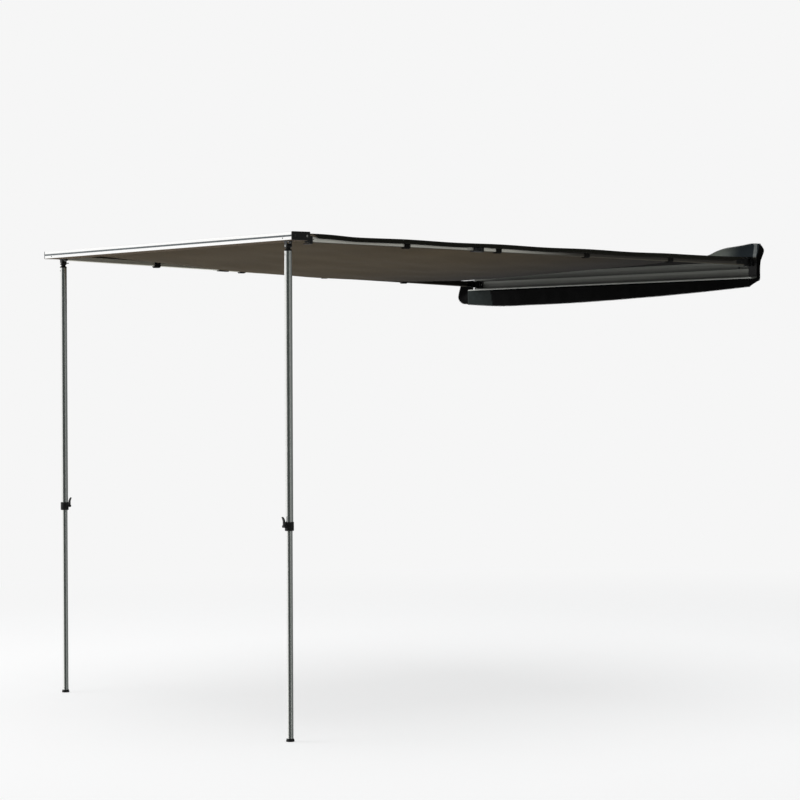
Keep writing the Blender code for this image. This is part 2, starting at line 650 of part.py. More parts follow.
def make_cradle(side, cap):
    """The open cradle behind a beam cap that an arm's tip swings into.

    Its shelf lies low enough for the arm's slope to change against the beam as both draw in.
    """
    sign = SIDES[side]
    slopes = {name: math.tan(arm_slope(name)) for name in SIDES}
    mean = sum(slopes.values()) / len(slopes)
    drift = max(0, slopes[side] - mean) * REACH_TRAVEL + TIP_SIZE[2] * slopes[side]
    shelf = ARM_TIP_RISE - TIP_SIZE[1] / 2 - 2 * LOOSE - drift
    inner = ARM_X + TIP_SIZE[0] / 2 + LOOSE
    outer = BEAM_LENGTH / 2
    back = BEAM_DEPTH + CRADLE_LENGTH
    bottom, top = shelf - CRADLE_WALL, shelf + CRADLE_RISE
    wall = cuboid((inner, outer), (BEAM_DEPTH + GAP, back), (bottom, top), sign)
    floor = cuboid((outer - CRADLE_WIDTH, outer), (BEAM_DEPTH + GAP, back), (bottom, shelf), sign)
    bridge_x = (outer - CAP_WALL + GAP, outer)
    bridge = cuboid(bridge_x, (BEAM_DEPTH - CRADLE_BRIDGE, back), (bottom, top), sign)
    for name, mesh in (("wall", wall), ("floor", floor), ("bridge", bridge)):
        combine(cap, mesh, "UNION").name = f"{cap.name}_{name}"


def cuboid(across, along, up, sign=1):
    """A box mesh between two values on each axis, mirrored in X where sign is -1."""
    size = (across[1] - across[0], along[1] - along[0], up[1] - up[0])
    centre = (sign * (across[0] + across[1]) / 2, (along[0] + along[1]) / 2, (up[0] + up[1]) / 2)
    return box(size, centre)


def make_leg(side, slide):
    """One telescopic leg, hinged under the beam, with its clamp and foot."""
    sign = SIDES[side]
    place = Matrix.Translation((sign * (BEAM_LENGTH / 2 - LEG_INSET), LEG_Y_INSET[side], -LEG_PIVOT_DROP))
    make_leg_fork(side, slide, place)
    pivot = axis(f"{side}_leg_axis", place, slide)
    neck, shoulder = HEAD_NECK / 2, UPPER_LEG / 2
    hollow = shoulder - LEG_WALL
    eye = rod(neck, HEAD_NECK, turn=ALONG_Y, sides=28)
    head = add_object(f"{side}_leg_head", eye, "black_plastic", pivot)
    top, rim = -LEG_TOP_DROP + HEAD_SHOULDER, -LEG_TOP_DROP + GAP
    start = -LEG_EAR_WIDTH / 2 - LOOSE
    waist = [(neck + (shoulder - neck) * (step / 6) ** 2, start + (top - start) * step / 6) for step in range(7)]
    profile = [(0, 0), (neck * 0.8, 0)] + waist + [(shoulder, rim), (hollow - GAP, rim)]
    profile += [(hollow - GAP, rim - HEAD_PLUG), (0, rim - HEAD_PLUG)]
    stem = turned(f"{side}_leg_head_stem", profile, "black_plastic", pivot)
    as_helper(head, stem)
    bore = rod(LEG_PIN / 2 + GAP, 2 * HEAD_NECK, turn=ALONG_Y, sides=20)
    combine(head, bore, "DIFFERENCE").name = f"{head.name}_bore"

    start, end = -LEG_TOP_DROP, -LEG_TOP_DROP - UPPER_LEG_LENGTH
    tube = extrusion([circle(shoulder), circle(hollow)], start - end)
    add_object(f"{side}_leg_upper", tube, "mill_aluminium", pivot, Matrix.Translation((0, 0, (start + end) / 2)))

    upper_edge = end + CLAMP_RISE
    lower_edge = upper_edge - LEG_COLLAR_LENGTH
    outer, inner = LEG_COLLAR / 2, LOWER_LEG / 2 + GAP
    lead = 0.002
    profile = [(shoulder + GAP, upper_edge), (outer - lead, upper_edge), (outer, upper_edge - lead)]
    profile += [(outer, lower_edge + lead), (outer - lead, lower_edge), (inner, lower_edge)]
    profile += [(inner, end - GAP), (shoulder + GAP, end - GAP)]
    collar = turned(f"{side}_leg_collar", profile, "black_plastic", pivot, closed=True)
    turn = Matrix(((0, 0, -sign), (-sign, 0, 0), (0, 1, 0))).to_4x4()
    middle = (upper_edge + lower_edge) / 2
    offset = Matrix.Translation((0, -sign * (outer + LEVER_OFFSET), middle))
    make_clamp(f"{side}_leg", collar, pivot, offset, turn)

    telescope = axis(f"{side}_leg_slide", Matrix.Identity(4), pivot)
    ground = LEG_PIVOT_DROP - STANDING_HEIGHT
    start, end = end + LEG_OVERLAP, ground + FOOT_SOLE + GAP
    tube = extrusion([circle(LOWER_LEG / 2), circle(LOWER_LEG / 2 - LEG_WALL)], start - end)
    add_object(f"{side}_leg_lower", tube, "mill_aluminium", telescope, Matrix.Translation((0, 0, (start + end) / 2)))
    outer, inner = FOOT_DIAMETER / 2, LOWER_LEG / 2 + GAP
    profile = [(inner, ground + FOOT_HEIGHT), (outer - 0.0025, ground + FOOT_HEIGHT)]
    profile += [(outer - 0.001, ground + FOOT_HEIGHT * 0.6), (outer, ground + 0.002), (outer - 0.001, ground)]
    profile += [(0, ground), (0, ground + FOOT_SOLE), (inner, ground + FOOT_SOLE)]
    turned(f"{side}_leg_foot", profile, "black_plastic", telescope, closed=True)


def as_helper(item, other):
    """Join one built solid to another and keep it only as the helper."""
    bpy.data.collections[PARTS].objects.unlink(other)
    bpy.data.collections[CUTTERS].objects.link(other)
    other.hide_render = True
    other.display_type = "WIRE"
    modifier = item.modifiers.new("Union", "BOOLEAN")
    modifier.operation = "UNION"
    modifier.solver = "EXACT"
    modifier.object = other


def make_leg_fork(side, slide, place):
    """The fork under the beam that holds a leg's hinge pin."""
    width, wall = LEG_PLATE[1:]
    top = LEG_PIVOT_DROP - GAP
    plate = box(LEG_PLATE, (0, 0, top - wall / 2))
    fork = add_object(f"{side}_leg_fork", plate, "black_plastic", slide, place)
    half = LEG_EAR_WIDTH / 2
    ear = [(-half, top - wall / 2), (-half, 0)] + arc((0, 0), half, 195, 345, 8)
    ear += [(half, 0), (half, top - wall / 2)]
    inner = HEAD_NECK / 2 + GAP
    for front, name in ((-1, "front"), (1, "rear")):
        mesh = extrusion([ear], LEG_EAR_WALL, ALONG_Y)
        shift = Matrix.Translation((0, front * (inner + LEG_EAR_WALL / 2), 0))
        combine(fork, mesh, "UNION", place @ shift).name = f"{fork.name}_{name}_ear"
    bore = rod(LEG_PIN / 2 + GAP, 2 * width, turn=ALONG_Y, sides=20)
    combine(fork, bore, "DIFFERENCE", place).name = f"{fork.name}_bore"
    half_pin = inner + LEG_EAR_WALL + GAP
    pin = turned(f"{side}_leg_pin", pin_profile(LEG_PIN / 2, half_pin), "steel", slide, sides=20)
    pin.matrix_local = place @ ALONG_Y


def blend(value, start, end):
    """A smooth step from 0 at start to 1 at end."""
    share = min(1, max(0, (value - start) / (end - start)))
    return share * share * (3 - 2 * share)


def arm_height(side, y):
    """The height of an arm's centre line at a distance out from the backboard."""
    return ARM_HINGE_Z[side] + (ARM_HINGE_Y - y) * math.tan(arm_slope(side))


def sheet_ends():
    """Where the sheet leaves its two beads: Y and Z at the front and at the rear."""
    y, z = beam_channel()
    front = (BEAM_FRONT_Y + BEAM_DEPTH + BEAD_FIN + GAP, BEAM_BOTTOM_Z + z)
    rear = (board_channel()[0], BOARD_HEIGHT / 2 + BEAD_FIN + GAP + SHEET_WALL / 2)
    return front, rear


def sheet_edge(side, y):
    """The height of the sheet's edge, which rests on the straps round the arm."""
    (front_y, front_z), (rear_y, rear_z) = sheet_ends()
    lift = OUTER_ARM[1] / 2 + STRAP_WALL + 7 * GAP + SHEET_WALL / 2
    height = arm_height(side, y) + lift
    pitch = STRAP_PLACES[1] - STRAP_PLACES[0]
    height -= EDGE_SAG * math.sin(math.pi * (y + STRAP_PLACES[0]) / pitch) ** 2 * blend(-y, 0.3, 0.6)
    height += (front_z - height) * blend(-y, STRAP_PLACES[-1] + 0.25, -front_y - 0.01)
    return height + (rear_z - height) * blend(y, -STRAP_PLACES[0] + 0.03, rear_y)


def sheet_point(across, along, edge):
    """A point of the sheet; across is its share of the half width, edge 1 on a turned-down hem."""
    (front_y, _), (rear_y, _) = sheet_ends()
    y = front_y + (rear_y - front_y) * along
    share = (across + 1) / 2
    height = sheet_edge("far", y) * (1 - share) + sheet_edge("near", y) * share
    sag = SHEET_SAG * math.sin(math.pi * along ** SHEET_SAG_BIAS) * max(0, 1 - (across / flat_share()) ** 2)
    drop = 0
    if edge:
        drop = HEM_DROP * blend(-y, *HEM_FADE_REAR) * blend(y - front_y, *reversed(HEM_FADE_FRONT)) + LOOSE
    return (SHEET_HALF * across, y, height - sag - drop)


def flat_share():
    """The share of the sheet's half width from which it lies flat over an arm."""
    return 1 - SHEET_FLAT / SHEET_HALF


def sheet_mesh():
    """A grid of the sheet with its two hems turned down."""
    columns, rows = 16, 30
    mesh = bpy.data.meshes.new("sheet")
    shape = bmesh.new()
    bmesh.ops.create_grid(shape, x_segments=columns, y_segments=rows, size=1)
    for vertex in shape.verts:
        column = round((vertex.co.x + 1) / 2 * columns)
        along = (vertex.co.y + 1) / 2
        inner = min(columns - 1, max(1, column))
        across = 2 * (inner - 1) / (columns - 2) - 1
        if inner in (2, columns - 2):
            across = math.copysign(flat_share(), across)
        vertex.co = sheet_point(across, along, column in (0, columns))
    bmesh.ops.recalc_face_normals(shape, faces=shape.faces)
    shape.to_mesh(mesh)
    shape.free()
    smooth(mesh, 50)
    return mesh


def thicken(item, wall):
    """Give an open surface its wall, half to each side."""
    shell = item.modifiers.new("Wall", "SOLIDIFY")
    shell.thickness = wall
    shell.offset = 0
    shell.use_even_offset = True
    return shell


def make_sheet():
    """The canvas roof and the strap loops that hold it to the arms."""
    sheet = add_object("canopy_sheet", sheet_mesh(), "canvas")
    thicken(sheet, SHEET_WALL)
    inner = (OUTER_ARM[0] + 8 * GAP, OUTER_ARM[1] + 8 * GAP)
    outer = (inner[0] + 2 * STRAP_WALL, inner[1] + 2 * STRAP_WALL)
    outlines = [rounded(*outer, ARM_CORNER + STRAP_WALL), rounded(*inner, ARM_CORNER)]
    for side in SIDES:
        for number, place in enumerate(STRAP_PLACES, 1):
            loop = extrusion(outlines, STRAP_WIDTH, ALONG_Y)
            middle = Matrix.Translation((0, -place - ARM_HINGE_Y, 0))
            add_object(f"{side}_strap_{number}", loop, "webbing", place=arm_axes(side) @ middle)


def surface(name, point, columns, rows):
    """An open surface on a grid, placed by a function of its two shares."""
    mesh = bpy.data.meshes.new(name)
    shape = bmesh.new()
    bmesh.ops.create_grid(shape, x_segments=columns, y_segments=rows, size=1)
    for vertex in shape.verts:
        vertex.co = point((vertex.co.x + 1) / 2, (vertex.co.y + 1) / 2)
    bmesh.ops.recalc_face_normals(shape, faces=shape.faces)
    shape.to_mesh(mesh)
    shape.free()
    smooth(mesh, 60)
    return mesh


def lower_flap_point(across, down):
    """The cover's front panel, hanging from the lip in shallow folds, its far corner drawn up."""
    half = BOARD_LENGTH / 2
    x = half * (2 * across - 1)
    wave = 0.9 + 0.5 * math.sin(9 * x + 0.6) + 0.3 * math.sin(23 * x + 2)
    y = -FLAP_WAVE * down * wave * math.sin(math.pi * across) ** 0.4 - LOOSE / 2 * down
    corner, rise = FLAP_CORNER
    drop = FLAP_DROP + FLAP_BELLY * math.sin(math.pi * across) - rise * blend(-x, half - corner, half)
    return (x, y, -drop * down)


def top_flap_point(across, up):
    """The cover's top panel, low behind the sheet and standing up at its near end."""
    half = BOARD_LENGTH / 2
    x = half * (2 * across - 1)
    lift = blend(x, half - TOP_FLAP_START, half)
    y = TOP_FLAP_LEAN * math.sin(0.6 * math.pi * up) * (0.3 + 0.7 * lift)
    return (x, y, (TOP_FLAP_LOW + (TOP_FLAP_RISE - TOP_FLAP_LOW) * lift) * up)


def on_curve(points, share):
    """A point of the smooth curve through evenly shared points."""
    spots = [Vector(point) for point in points]
    spots = [2 * spots[0] - spots[1], *spots, 2 * spots[-1] - spots[-2]]
    place = share * (len(points) - 1)
    index = min(int(place), len(points) - 2)
    t = place - index
    a, b, c, d = spots[index:index + 4]
    return 0.5 * (2 * b + (c - a) * t + (2 * a - 5 * b + 4 * c - d) * t ** 2 + (3 * b - a - 3 * c + d) * t ** 3)


def end_panel_point(side, around, outward):
    """A cover end panel, from the board's end face out to its loose edge."""
    sewn = on_curve([(PANEL_ROOT, y, z) for y, z in PANEL_SEWN[side]], around)
    spot = sewn.lerp(on_curve(PANEL_LOOSE[side], around), outward)
    swell = PANEL_SWELL * math.sin(math.pi * outward) * math.sin(math.pi * around)
    return (SIDES[side] * (BOARD_LENGTH / 2 + spot.x + swell), spot.y + swell, spot.z)


def make_cover():
    """The open fabric cover: a front panel, a top panel and two end panels."""
    hinge = Matrix.Translation((0, -LIP_DEPTH - GAP - COVER_WALL / 2, -BOARD_HEIGHT / 2 + LIP_WALL))
    front = axis("cover_front_axis", hinge)
    panel = add_object("cover_front", surface("cover_front", lower_flap_point, 60, 6), "coated_fabric", front)
    thicken(panel, COVER_WALL)
    top_place = (0, -COVER_WALL / 2 - GAP, BOARD_HEIGHT / 2 + COVER_WALL / 2 + GAP)
    top = axis("cover_top_axis", Matrix.Translation(top_place))
    panel = add_object("cover_top", surface("cover_top", top_flap_point, 40, 5), "coated_fabric", top)
    thicken(panel, COVER_WALL)
    for side in SIDES:
        def point(around, outward, side=side):
            return end_panel_point(side, around, outward)
        panel = add_object(f"cover_{side}_end", surface(f"cover_{side}_end", point, 14, 6), "coated_fabric")
        thicken(panel, COVER_WALL)


def main():
    """Build the awning, from the rack outward."""
    clear_scene()
    make_backboard()
    make_rack_brackets()
    beam_place = Matrix.Translation((0, BEAM_FRONT_Y, BEAM_BOTTOM_Z))
    slide = axis("beam_axis", beam_place)
    make_beam(slide)
    for side in SIDES:
        make_arm_bracket(side)
        make_arm(side)
        make_leg(side, slide)
    make_sheet()
    make_cover()


main()
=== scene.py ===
"""Studio scene of a vehicle side awning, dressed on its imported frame.

Lengths are in metres in the frame's axes: +X is the near end, -Y points away from the vehicle
and +Z is up. The ground lies at the feet's soles.
"""
from __future__ import annotations

import logging
import math
from dataclasses import dataclass, field
from enum import Enum
from typing import Callable

import bpy
from mathutils import Matrix, Vector


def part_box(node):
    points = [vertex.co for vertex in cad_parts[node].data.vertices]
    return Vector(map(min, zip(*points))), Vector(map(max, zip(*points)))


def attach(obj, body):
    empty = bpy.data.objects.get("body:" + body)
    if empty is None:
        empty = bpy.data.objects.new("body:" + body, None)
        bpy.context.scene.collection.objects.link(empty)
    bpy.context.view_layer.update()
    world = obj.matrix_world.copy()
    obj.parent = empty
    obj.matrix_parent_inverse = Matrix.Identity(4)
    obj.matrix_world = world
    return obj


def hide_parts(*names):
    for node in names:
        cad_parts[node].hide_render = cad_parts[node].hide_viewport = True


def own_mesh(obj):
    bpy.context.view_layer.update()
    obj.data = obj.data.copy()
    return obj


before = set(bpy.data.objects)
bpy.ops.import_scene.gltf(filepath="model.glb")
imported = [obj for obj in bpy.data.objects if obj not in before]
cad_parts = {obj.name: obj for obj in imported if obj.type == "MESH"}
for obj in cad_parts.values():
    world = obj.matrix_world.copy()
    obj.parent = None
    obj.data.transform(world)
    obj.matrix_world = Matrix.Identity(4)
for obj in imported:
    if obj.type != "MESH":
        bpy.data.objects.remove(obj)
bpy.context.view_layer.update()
LOG = logging.getLogger("awning")
MM = 0.001
SIDES = {"near": 1, "far": -1}
# Where the two tones of a mottled colour lie on its noise.
CLOUD_RAMP = (0.3, 0.7)
# The upward part of the normal at which the painted shade below starts, and at which it covers a face.
LOOKS_DOWN = (-0.15, -0.6)
# Blender's bands repeat after 0.31 of a unit, so this draws a wave over about three threads.
WAVE_SCALE = 10

Tree = bpy.types.NodeTree
Socket = bpy.types.NodeSocket
Material = bpy.types.Material
Mesh = bpy.types.Mesh
Item = bpy.types.Object
Place = Callable[[float, float], Vector]
Pair = tuple[float, float]
Triple = tuple[float, float, float]
Tones = tuple[str, str]


class Direction(Enum):
    """The way along which a piece was drawn, woven or extruded."""

    ALONG = (1.0, 0.0, 0.0)
    OUT = (0.0, 1.0, 0.0)
    UP = (0.0, 0.0, 1.0)


def linear(hex_colour: str) -> tuple[float, float, float, float]:
    """Turn an sRGB hex colour into linear light.

    Args:
        hex_colour: A mark and six hex digits.

    Returns:
        Red, green, blue and an alpha of 1.
    """
    shares = [int(hex_colour[start:start + 2], 16) / 255 for start in (1, 3, 5)]
    light = [share / 12.92 if share <= 0.04045 else ((share + 0.055) / 1.055) ** 2.4 for share in shares]
    return (*light, 1.0)


def fill(tree: Tree, target: bpy.types.Node, inputs: dict) -> None:
    """Link or set a node's inputs.

    Args:
        tree: The node's tree.
        target: The node.
        inputs: Socket names, or _ and a number, with a value or an output socket to link from.
    """
    for name, value in inputs.items():
        socket = target.inputs[int(name[1:]) if name[0] == "_" else name.replace("_", " ")]
        if isinstance(value, Socket):
            tree.links.new(value, socket)
        else:
            socket.default_value = value


def node(tree: Tree, kind: str, settings: dict | None = None, **inputs) -> bpy.types.Node:
    """Add a shader node with its settings and inputs.

    Args:
        tree: The tree that gets the node.
        kind: The node's Blender type, without its first word.
        settings: Its own properties by name.
        **inputs: As for fill().

    Returns:
        The new node.
    """
    made = tree.nodes.new(f"ShaderNode{kind}")
    for name, value in (settings or {}).items():
        setattr(made, name, value)
    fill(tree, made, inputs)
    return made


def seen_by(tree: Tree, *rays: str) -> Socket:
    """A share that is 1 for some kinds of rays and 0 for the others.

    Args:
        tree: The tree.
        *rays: Blender's names of those kinds.

    Returns:
        The share.
    """
    path = node(tree, "LightPath")
    shares = [path.outputs[f"Is {ray} Ray"] for ray in rays]
    seen = shares[0]
    for share in shares[1:]:
        seen = node(tree, "Math", {"operation": "MAXIMUM"}, _0=seen, _1=share).outputs[0]
    return seen


class Surface:
    """A material while its nodes are laid out."""

    def __init__(self, name: str) -> None:
        """Start the material.

        Args:
            name: What the real surface is.
        """
        self.material = bpy.data.materials.new(name)
        self.material.use_nodes = True
        self.tree = self.material.node_tree
        self.shader = self.tree.nodes["Principled BSDF"]

    def add(self, kind: str, settings: dict | None = None, **inputs) -> bpy.types.Node:
        """Add a node to this material.

        Args:
            kind: As for node().
            settings: As for node().
            **inputs: As for fill().

        Returns:
            The new node.
        """
        return node(self.tree, kind, settings, **inputs)

    def give(self, **inputs) -> None:
        """Link or set inputs of the main shader.

        Args:
            **inputs: As for fill().
        """
        fill(self.tree, self.shader, inputs)

    def show(self, shader: bpy.types.Node) -> None:
        """Let another shader be the one that is seen.

        Args:
            shader: The shader.
        """
        self.tree.links.new(shader.outputs[0], self.tree.nodes["Material Output"].inputs["Surface"])

    def space(self, direction: Direction = Direction.UP, stretch: float = 1.0) -> Socket:
        """The piece's own coordinates in metres, drawn out along one direction.

        Args:
            direction: The way the pattern is drawn out.
            stretch: How many times longer it is that way.

        Returns:
            The coordinates.
        """
        place = self.add("TexCoord")
        scale = [1 / stretch if share else 1.0 for share in direction.value]
        return self.add("Mapping", Vector=place.outputs["Object"], Scale=scale).outputs[0]

    def along(self, axis: str) -> Socket:
        """How far a point lies along an axis.

        Args:
            axis: X, Y or Z of the frame.

        Returns:
            The distance in metres.
        """
        place = self.add("TexCoord")
        return self.add("SeparateXYZ", _0=place.outputs["Object"]).outputs[axis]

    def reckon(self, operation: str, *values: Socket | float) -> Socket:
        """Reckon with values.

        Args:
            operation: Blender's name of the operation.
            *values: The values that it takes.

        Returns:
            The result.
        """
        inputs = {f"_{number}": value for number, value in enumerate(values)}
        return self.add("Math", {"operation": operation}, **inputs).outputs[0]

    def between(self, value: Socket, limits: Pair, course: str = "LINEAR") -> Socket:
        """A share that goes from 0 to 1 between two limits of a value.

        Args:
            value: The value.
            limits: Where the share is 0 and 1.
            course: Blender's name of its course.

        Returns:
            The share.
        """
        return self.add("MapRange", {"interpolation_type": course}, Value=value, From_Min=limits[0],
                        From_Max=limits[1]).outputs[0]

    def facing(self, axis: str, limits: Pair) -> Socket:
        """A share that goes from 0 to 1 as the surface turns along an axis.

        Args:
            axis: The axis of the normal that counts.
            limits: The normal's parts at which the share is 0 and 1.

        Returns:
            The share.
        """
        normal = self.add("NewGeometry").outputs["Normal"]
        return self.between(self.add("SeparateXYZ", _0=normal).outputs[axis], limits)

    def noise(self, space: Socket, size: float, detail: float) -> Socket:
        """A cloudy value from 0 to 1.

        Args:
            space: Coordinates in metres.
            size: The width of a cloud in metres.
            detail: Octaves of the noise.

        Returns:
            The value.
        """
        return self.add("TexNoise", Vector=space, Scale=1 / size, Detail=detail).outputs["Fac"]

    def mottled(self, space: Socket, size: float, tones: Tones, detail: float = 3.0) -> Socket:
        """A cloudy colour between two hex values.

        Args:
            space: Coordinates in metres.
            size: The width of a cloud in metres.
            tones: Hex of the first and the last tone.
            detail: Octaves of the noise.

        Returns:
            The colour.
        """
        ramp = self.add("ValToRGB", Fac=self.noise(space, size, detail))
        for element, position, tone in zip(ramp.color_ramp.elements, CLOUD_RAMP, tones):
            element.position = position
            element.color = linear(tone)
        return ramp.outputs["Color"]

    def spread(self, value: Socket, low: float, high: float) -> Socket:
        """Map a value from 0 to 1 onto a narrower range.

        Args:
            value: The value.
            low: What 0 becomes.
            high: What 1 becomes.

        Returns:
            The new value.
        """
        return self.add("MapRange", Value=value, To_Min=low, To_Max=high).outputs[0]

    def mix(self, share: Socket | float, first: Socket | str, second: Socket | str,
            blend: str = "MIX") -> Socket:
        """Blend two colours.

        Args:
            share: How much of the second colour is taken.
            first: The first colour, or its hex.
            second: The second colour, or its hex.
            blend: Blender's name of the blend.

        Returns:
            The blended colour.
        """
        first, second = (linear(colour) if isinstance(colour, str) else colour for colour in (first, second))
        settings = {"data_type": "RGBA", "blend_type": blend}
        return self.add("Mix", settings, Factor=share, _6=first, _7=second).outputs[2]

    def faded(self, colour: Socket, shade: str, reach: Pair, axis: str = "Y") -> Socket:
        """Blend a colour into another along the piece.

        Args:
            colour: The colour at the start.
            shade: Hex of the colour at the end.
            reach: Where the blend starts and ends, in metres.
            axis: The axis that it runs along.

        Returns:
            The blended colour.
        """
        return self.mix(self.between(self.along(axis), reach, "SMOOTHSTEP"), colour, shade)

    def stepped(self, colour: Socket, shade: str, depth: float, axis: str = "Y",
                behind: bool = False) -> Socket:
        """Change a colour on one side of a plane across the piece.

        Args:
            colour: The colour that stays on the other side.
            shade: Hex of the new colour.
            depth: Where the plane lies, in metres.
            axis: The axis that the plane stands across.
            behind: Whether the new colour is behind the plane rather than in front of it.

        Returns:
            The new colour.
        """
        beyond = self.reckon("GREATER_THAN" if behind else "LESS_THAN", self.along(axis), depth)
        return self.mix(beyond, colour, shade)

    def painted_shade_below(self, shade: str) -> None:
        """Paint the faces that look down in a matt painted shade, in place of their shade and dark
        reflection.

        Args:
            shade: Hex of the painted shade.
        """
        painted_shade = self.add("BsdfDiffuse", Color=linear(shade), Roughness=1.0)
        self.show(self.add("MixShader", _0=self.facing("Z", LOOKS_DOWN), _1=self.shader.outputs[0],
                           _2=painted_shade.outputs[0]))

    def bump(self, height: Socket, strength: float, depth_mm: float, **inputs) -> Socket:
        """Turn a height from 0 to 1 into a relief.

        Args:
            height: The height.
            strength: How strongly it shows.
            depth_mm: Its depth in millimetres.
            **inputs: A relief under it, as Normal.

        Returns:
            The normal.
        """
        return self.add("Bump", Height=height, Strength=strength, Distance=depth_mm * MM, **inputs).outputs[0]

    def grained(self, space: Socket, size_mm: float, detail: float, rough: Pair,
                relief: Pair | None = None) -> None:
        """Give the shader one fine pattern in its gloss and its relief.

        Args:
            space: Coordinates in metres.
            size_mm: The width of a grain or a line in millimetres.
            detail: Octaves of the noise.
            rough: The roughness at the pattern's 0 and 1.
            relief: How strongly the relief shows and its depth in millimetres.
        """
        grain = self.noise(space, size_mm * MM, detail)
        self.give(Roughness=self.spread(grain, *rough))
        if relief:
            self.give(Normal=self.bump(grain, *relief))


@dataclass(frozen=True)
class DrawnAluminium:
    """Aluminium tube or extrusion as drawn through its die: fine long lines and soft streaks."""

    name: str
    tones: Tones
    rough: Pair
    direction: Direction
    line_mm: float = 0.8
    streak: float = 6.0
    stretch: float = 120.0
    detail: float = 4.0
    relief: Pair = (0.25, 0.01)
    metallic: float = 1.0
    painted_rear_shade: str | None = None
    painted_rear_reach: Pair = (-1.5, -1.0)
    painted_under_shade: str | None = None
    sleeve: float | None = None
    sleeve_shade: str = "#0B0B0B"

    def build(self) -> Material:
        """Make the material."""
        surface = Surface(self.name)
        space = surface.space(self.direction, self.stretch)
        colour = surface.mottled(space, self.streak * self.line_mm * MM, self.tones)
        # Painted shade: the tube darkens towards the backboard, where the arm lies in shade.
        if self.painted_rear_shade:
            colour = surface.faded(colour, self.painted_rear_shade, self.painted_rear_reach)
        if self.sleeve:
            colour = surface.stepped(colour, self.sleeve_shade, self.sleeve, behind=True)
        # Painted shade on the faces that look down.
        if self.painted_under_shade:
            surface.painted_shade_below(self.painted_under_shade)
        surface.grained(space, self.line_mm, self.detail, self.rough, self.relief)
        surface.give(Base_Color=colour, Metallic=self.metallic)
        return surface.material


@dataclass(frozen=True)
class AnodisedBoard:
    """The backboard's anodised extrusion: fine long lines, painted light and shade in bands between the ribs,
    a painted shadow along its top and over its near end, and a painted highlight on its lip.
    """

    name: str = "anodised_aluminium_board"
    light: str = "#8F918A"
    dark: str = "#32342E"
    lip_highlight: str = "#CACCC6"
    ledge: str = "#868882"
    top_shadow: str = "#12110D"
    end_shadow: str = "#060606"
    wear: Tones = ("#D8D8D8", "#FFFFFF")
    first_rib: float = 0.033
    pitch: float = 0.0345
    rib_shade_span: Pair = (0.18, 0.95)
    front: Pair = (0.3, 0.0)
    ledge_ribs: float = 2.05
    lip_depth: float = -0.050
    end_shadow_start: float = 0.966
    line_mm: float = 1.1
    streak_mm: float = 6.0
    stretch: float = 120.0
    detail: float = 4.0
    relief: Pair = (0.25, 0.01)
    rough: Pair = (0.38, 0.52)
    metallic: float = 0.3

    def build(self) -> Material:
        """Make the material."""
        surface = Surface(self.name)
        space = surface.space(Direction.ALONG, self.stretch)
        # Painted light and shade: each band between the ribs runs from light at its top to dark at its
        # bottom.
        below = surface.reckon("SUBTRACT", self.first_rib, surface.along("Z"))
        share = surface.reckon("FRACT", surface.reckon("DIVIDE", below, self.pitch))
        colour = surface.mix(surface.between(share, self.rib_shade_span), self.light, self.dark)
        # Painted shadow over the board's near end.
        colour = surface.stepped(colour, self.end_shadow, self.end_shadow_start, "X", True)
        colour = surface.stepped(colour, self.ledge, self.first_rib - self.ledge_ribs * self.pitch, "Z")
        # Painted shadow along the top, under the sheet.
        colour = surface.stepped(colour, self.top_shadow, self.first_rib, "Z", True)
        # Painted highlight on the lip.
        colour = surface.stepped(colour, self.lip_highlight, self.lip_depth)
        # The painted light and shade show only on faces that look away from the vehicle; the others keep the
        # light tone.
        colour = surface.mix(surface.facing("Y", self.front), self.light, colour)
        worn = surface.mix(1.0, colour, surface.mottled(space, self.streak_mm * MM, self.wear), "MULTIPLY")
        surface.grained(space, self.line_mm, self.detail, self.rough, self.relief)
        surface.give(Base_Color=worn, Metallic=self.metallic)
        return surface.material


@dataclass(frozen=True)
class Grained:
    """A finish with soft clouds and one fine grain."""

    name: str
    tones: Tones
    rough: Pair
    cloud_mm: float
    grain_mm: float
    detail: float
    relief: Pair | None = None
    specular: float = 0.5
    metallic: float = 0.0

    def build(self) -> Material:
        """Make the material."""
        surface = Surface(self.name)
        space = surface.space()
        surface.grained(space, self.grain_mm, self.detail, self.rough, self.relief)
        surface.give(Base_Color=surface.mottled(space, self.cloud_mm * MM, self.tones),
                     Specular_IOR_Level=self.specular, Metallic=self.metallic)
        return surface.material


@dataclass(frozen=True)
class MouldedNylon(Grained):
    """Black glass-filled nylon from a spark-eroded mould: an even fine grain with a dull sheen."""

    name: str = "moulded_nylon"
    tones: Tones = ("#0E0E0E", "#1B1B1A")
    rough: Pair = (0.41, 0.56)
    cloud_mm: float = 20.0
    grain_mm: float = 0.7
    detail: float = 2.0
    relief: Pair = (0.3, 0.06)
    specular: float = 0.3


@dataclass(frozen=True)
class PowderCoat(Grained):
    """Black powder coat baked on steel: a slight orange-peel skin over the metal."""

    name: str = "powder_coated_steel"
    tones: Tones = ("#101112", "#1A1B1C")
    rough: Pair = (0.34, 0.46)
    cloud_mm: float = 30.0
    grain_mm: float = 1.6
    detail: float = 1.0
    relief: Pair = (0.25, 0.08)


@dataclass(frozen=True)
class ZincSteel(Grained):
    """Zinc-plated steel of pins, bolts and rivets: bright with cloudy patches."""

    name: str = "zinc_plated_steel"
    tones: Tones = ("#8E8F8C", "#C9C9C4")
    rough: Pair = (0.25, 0.42)
    cloud_mm: float = 5.0
    grain_mm: float = 4.0
    detail: float = 3.0
    metallic: float = 1.0


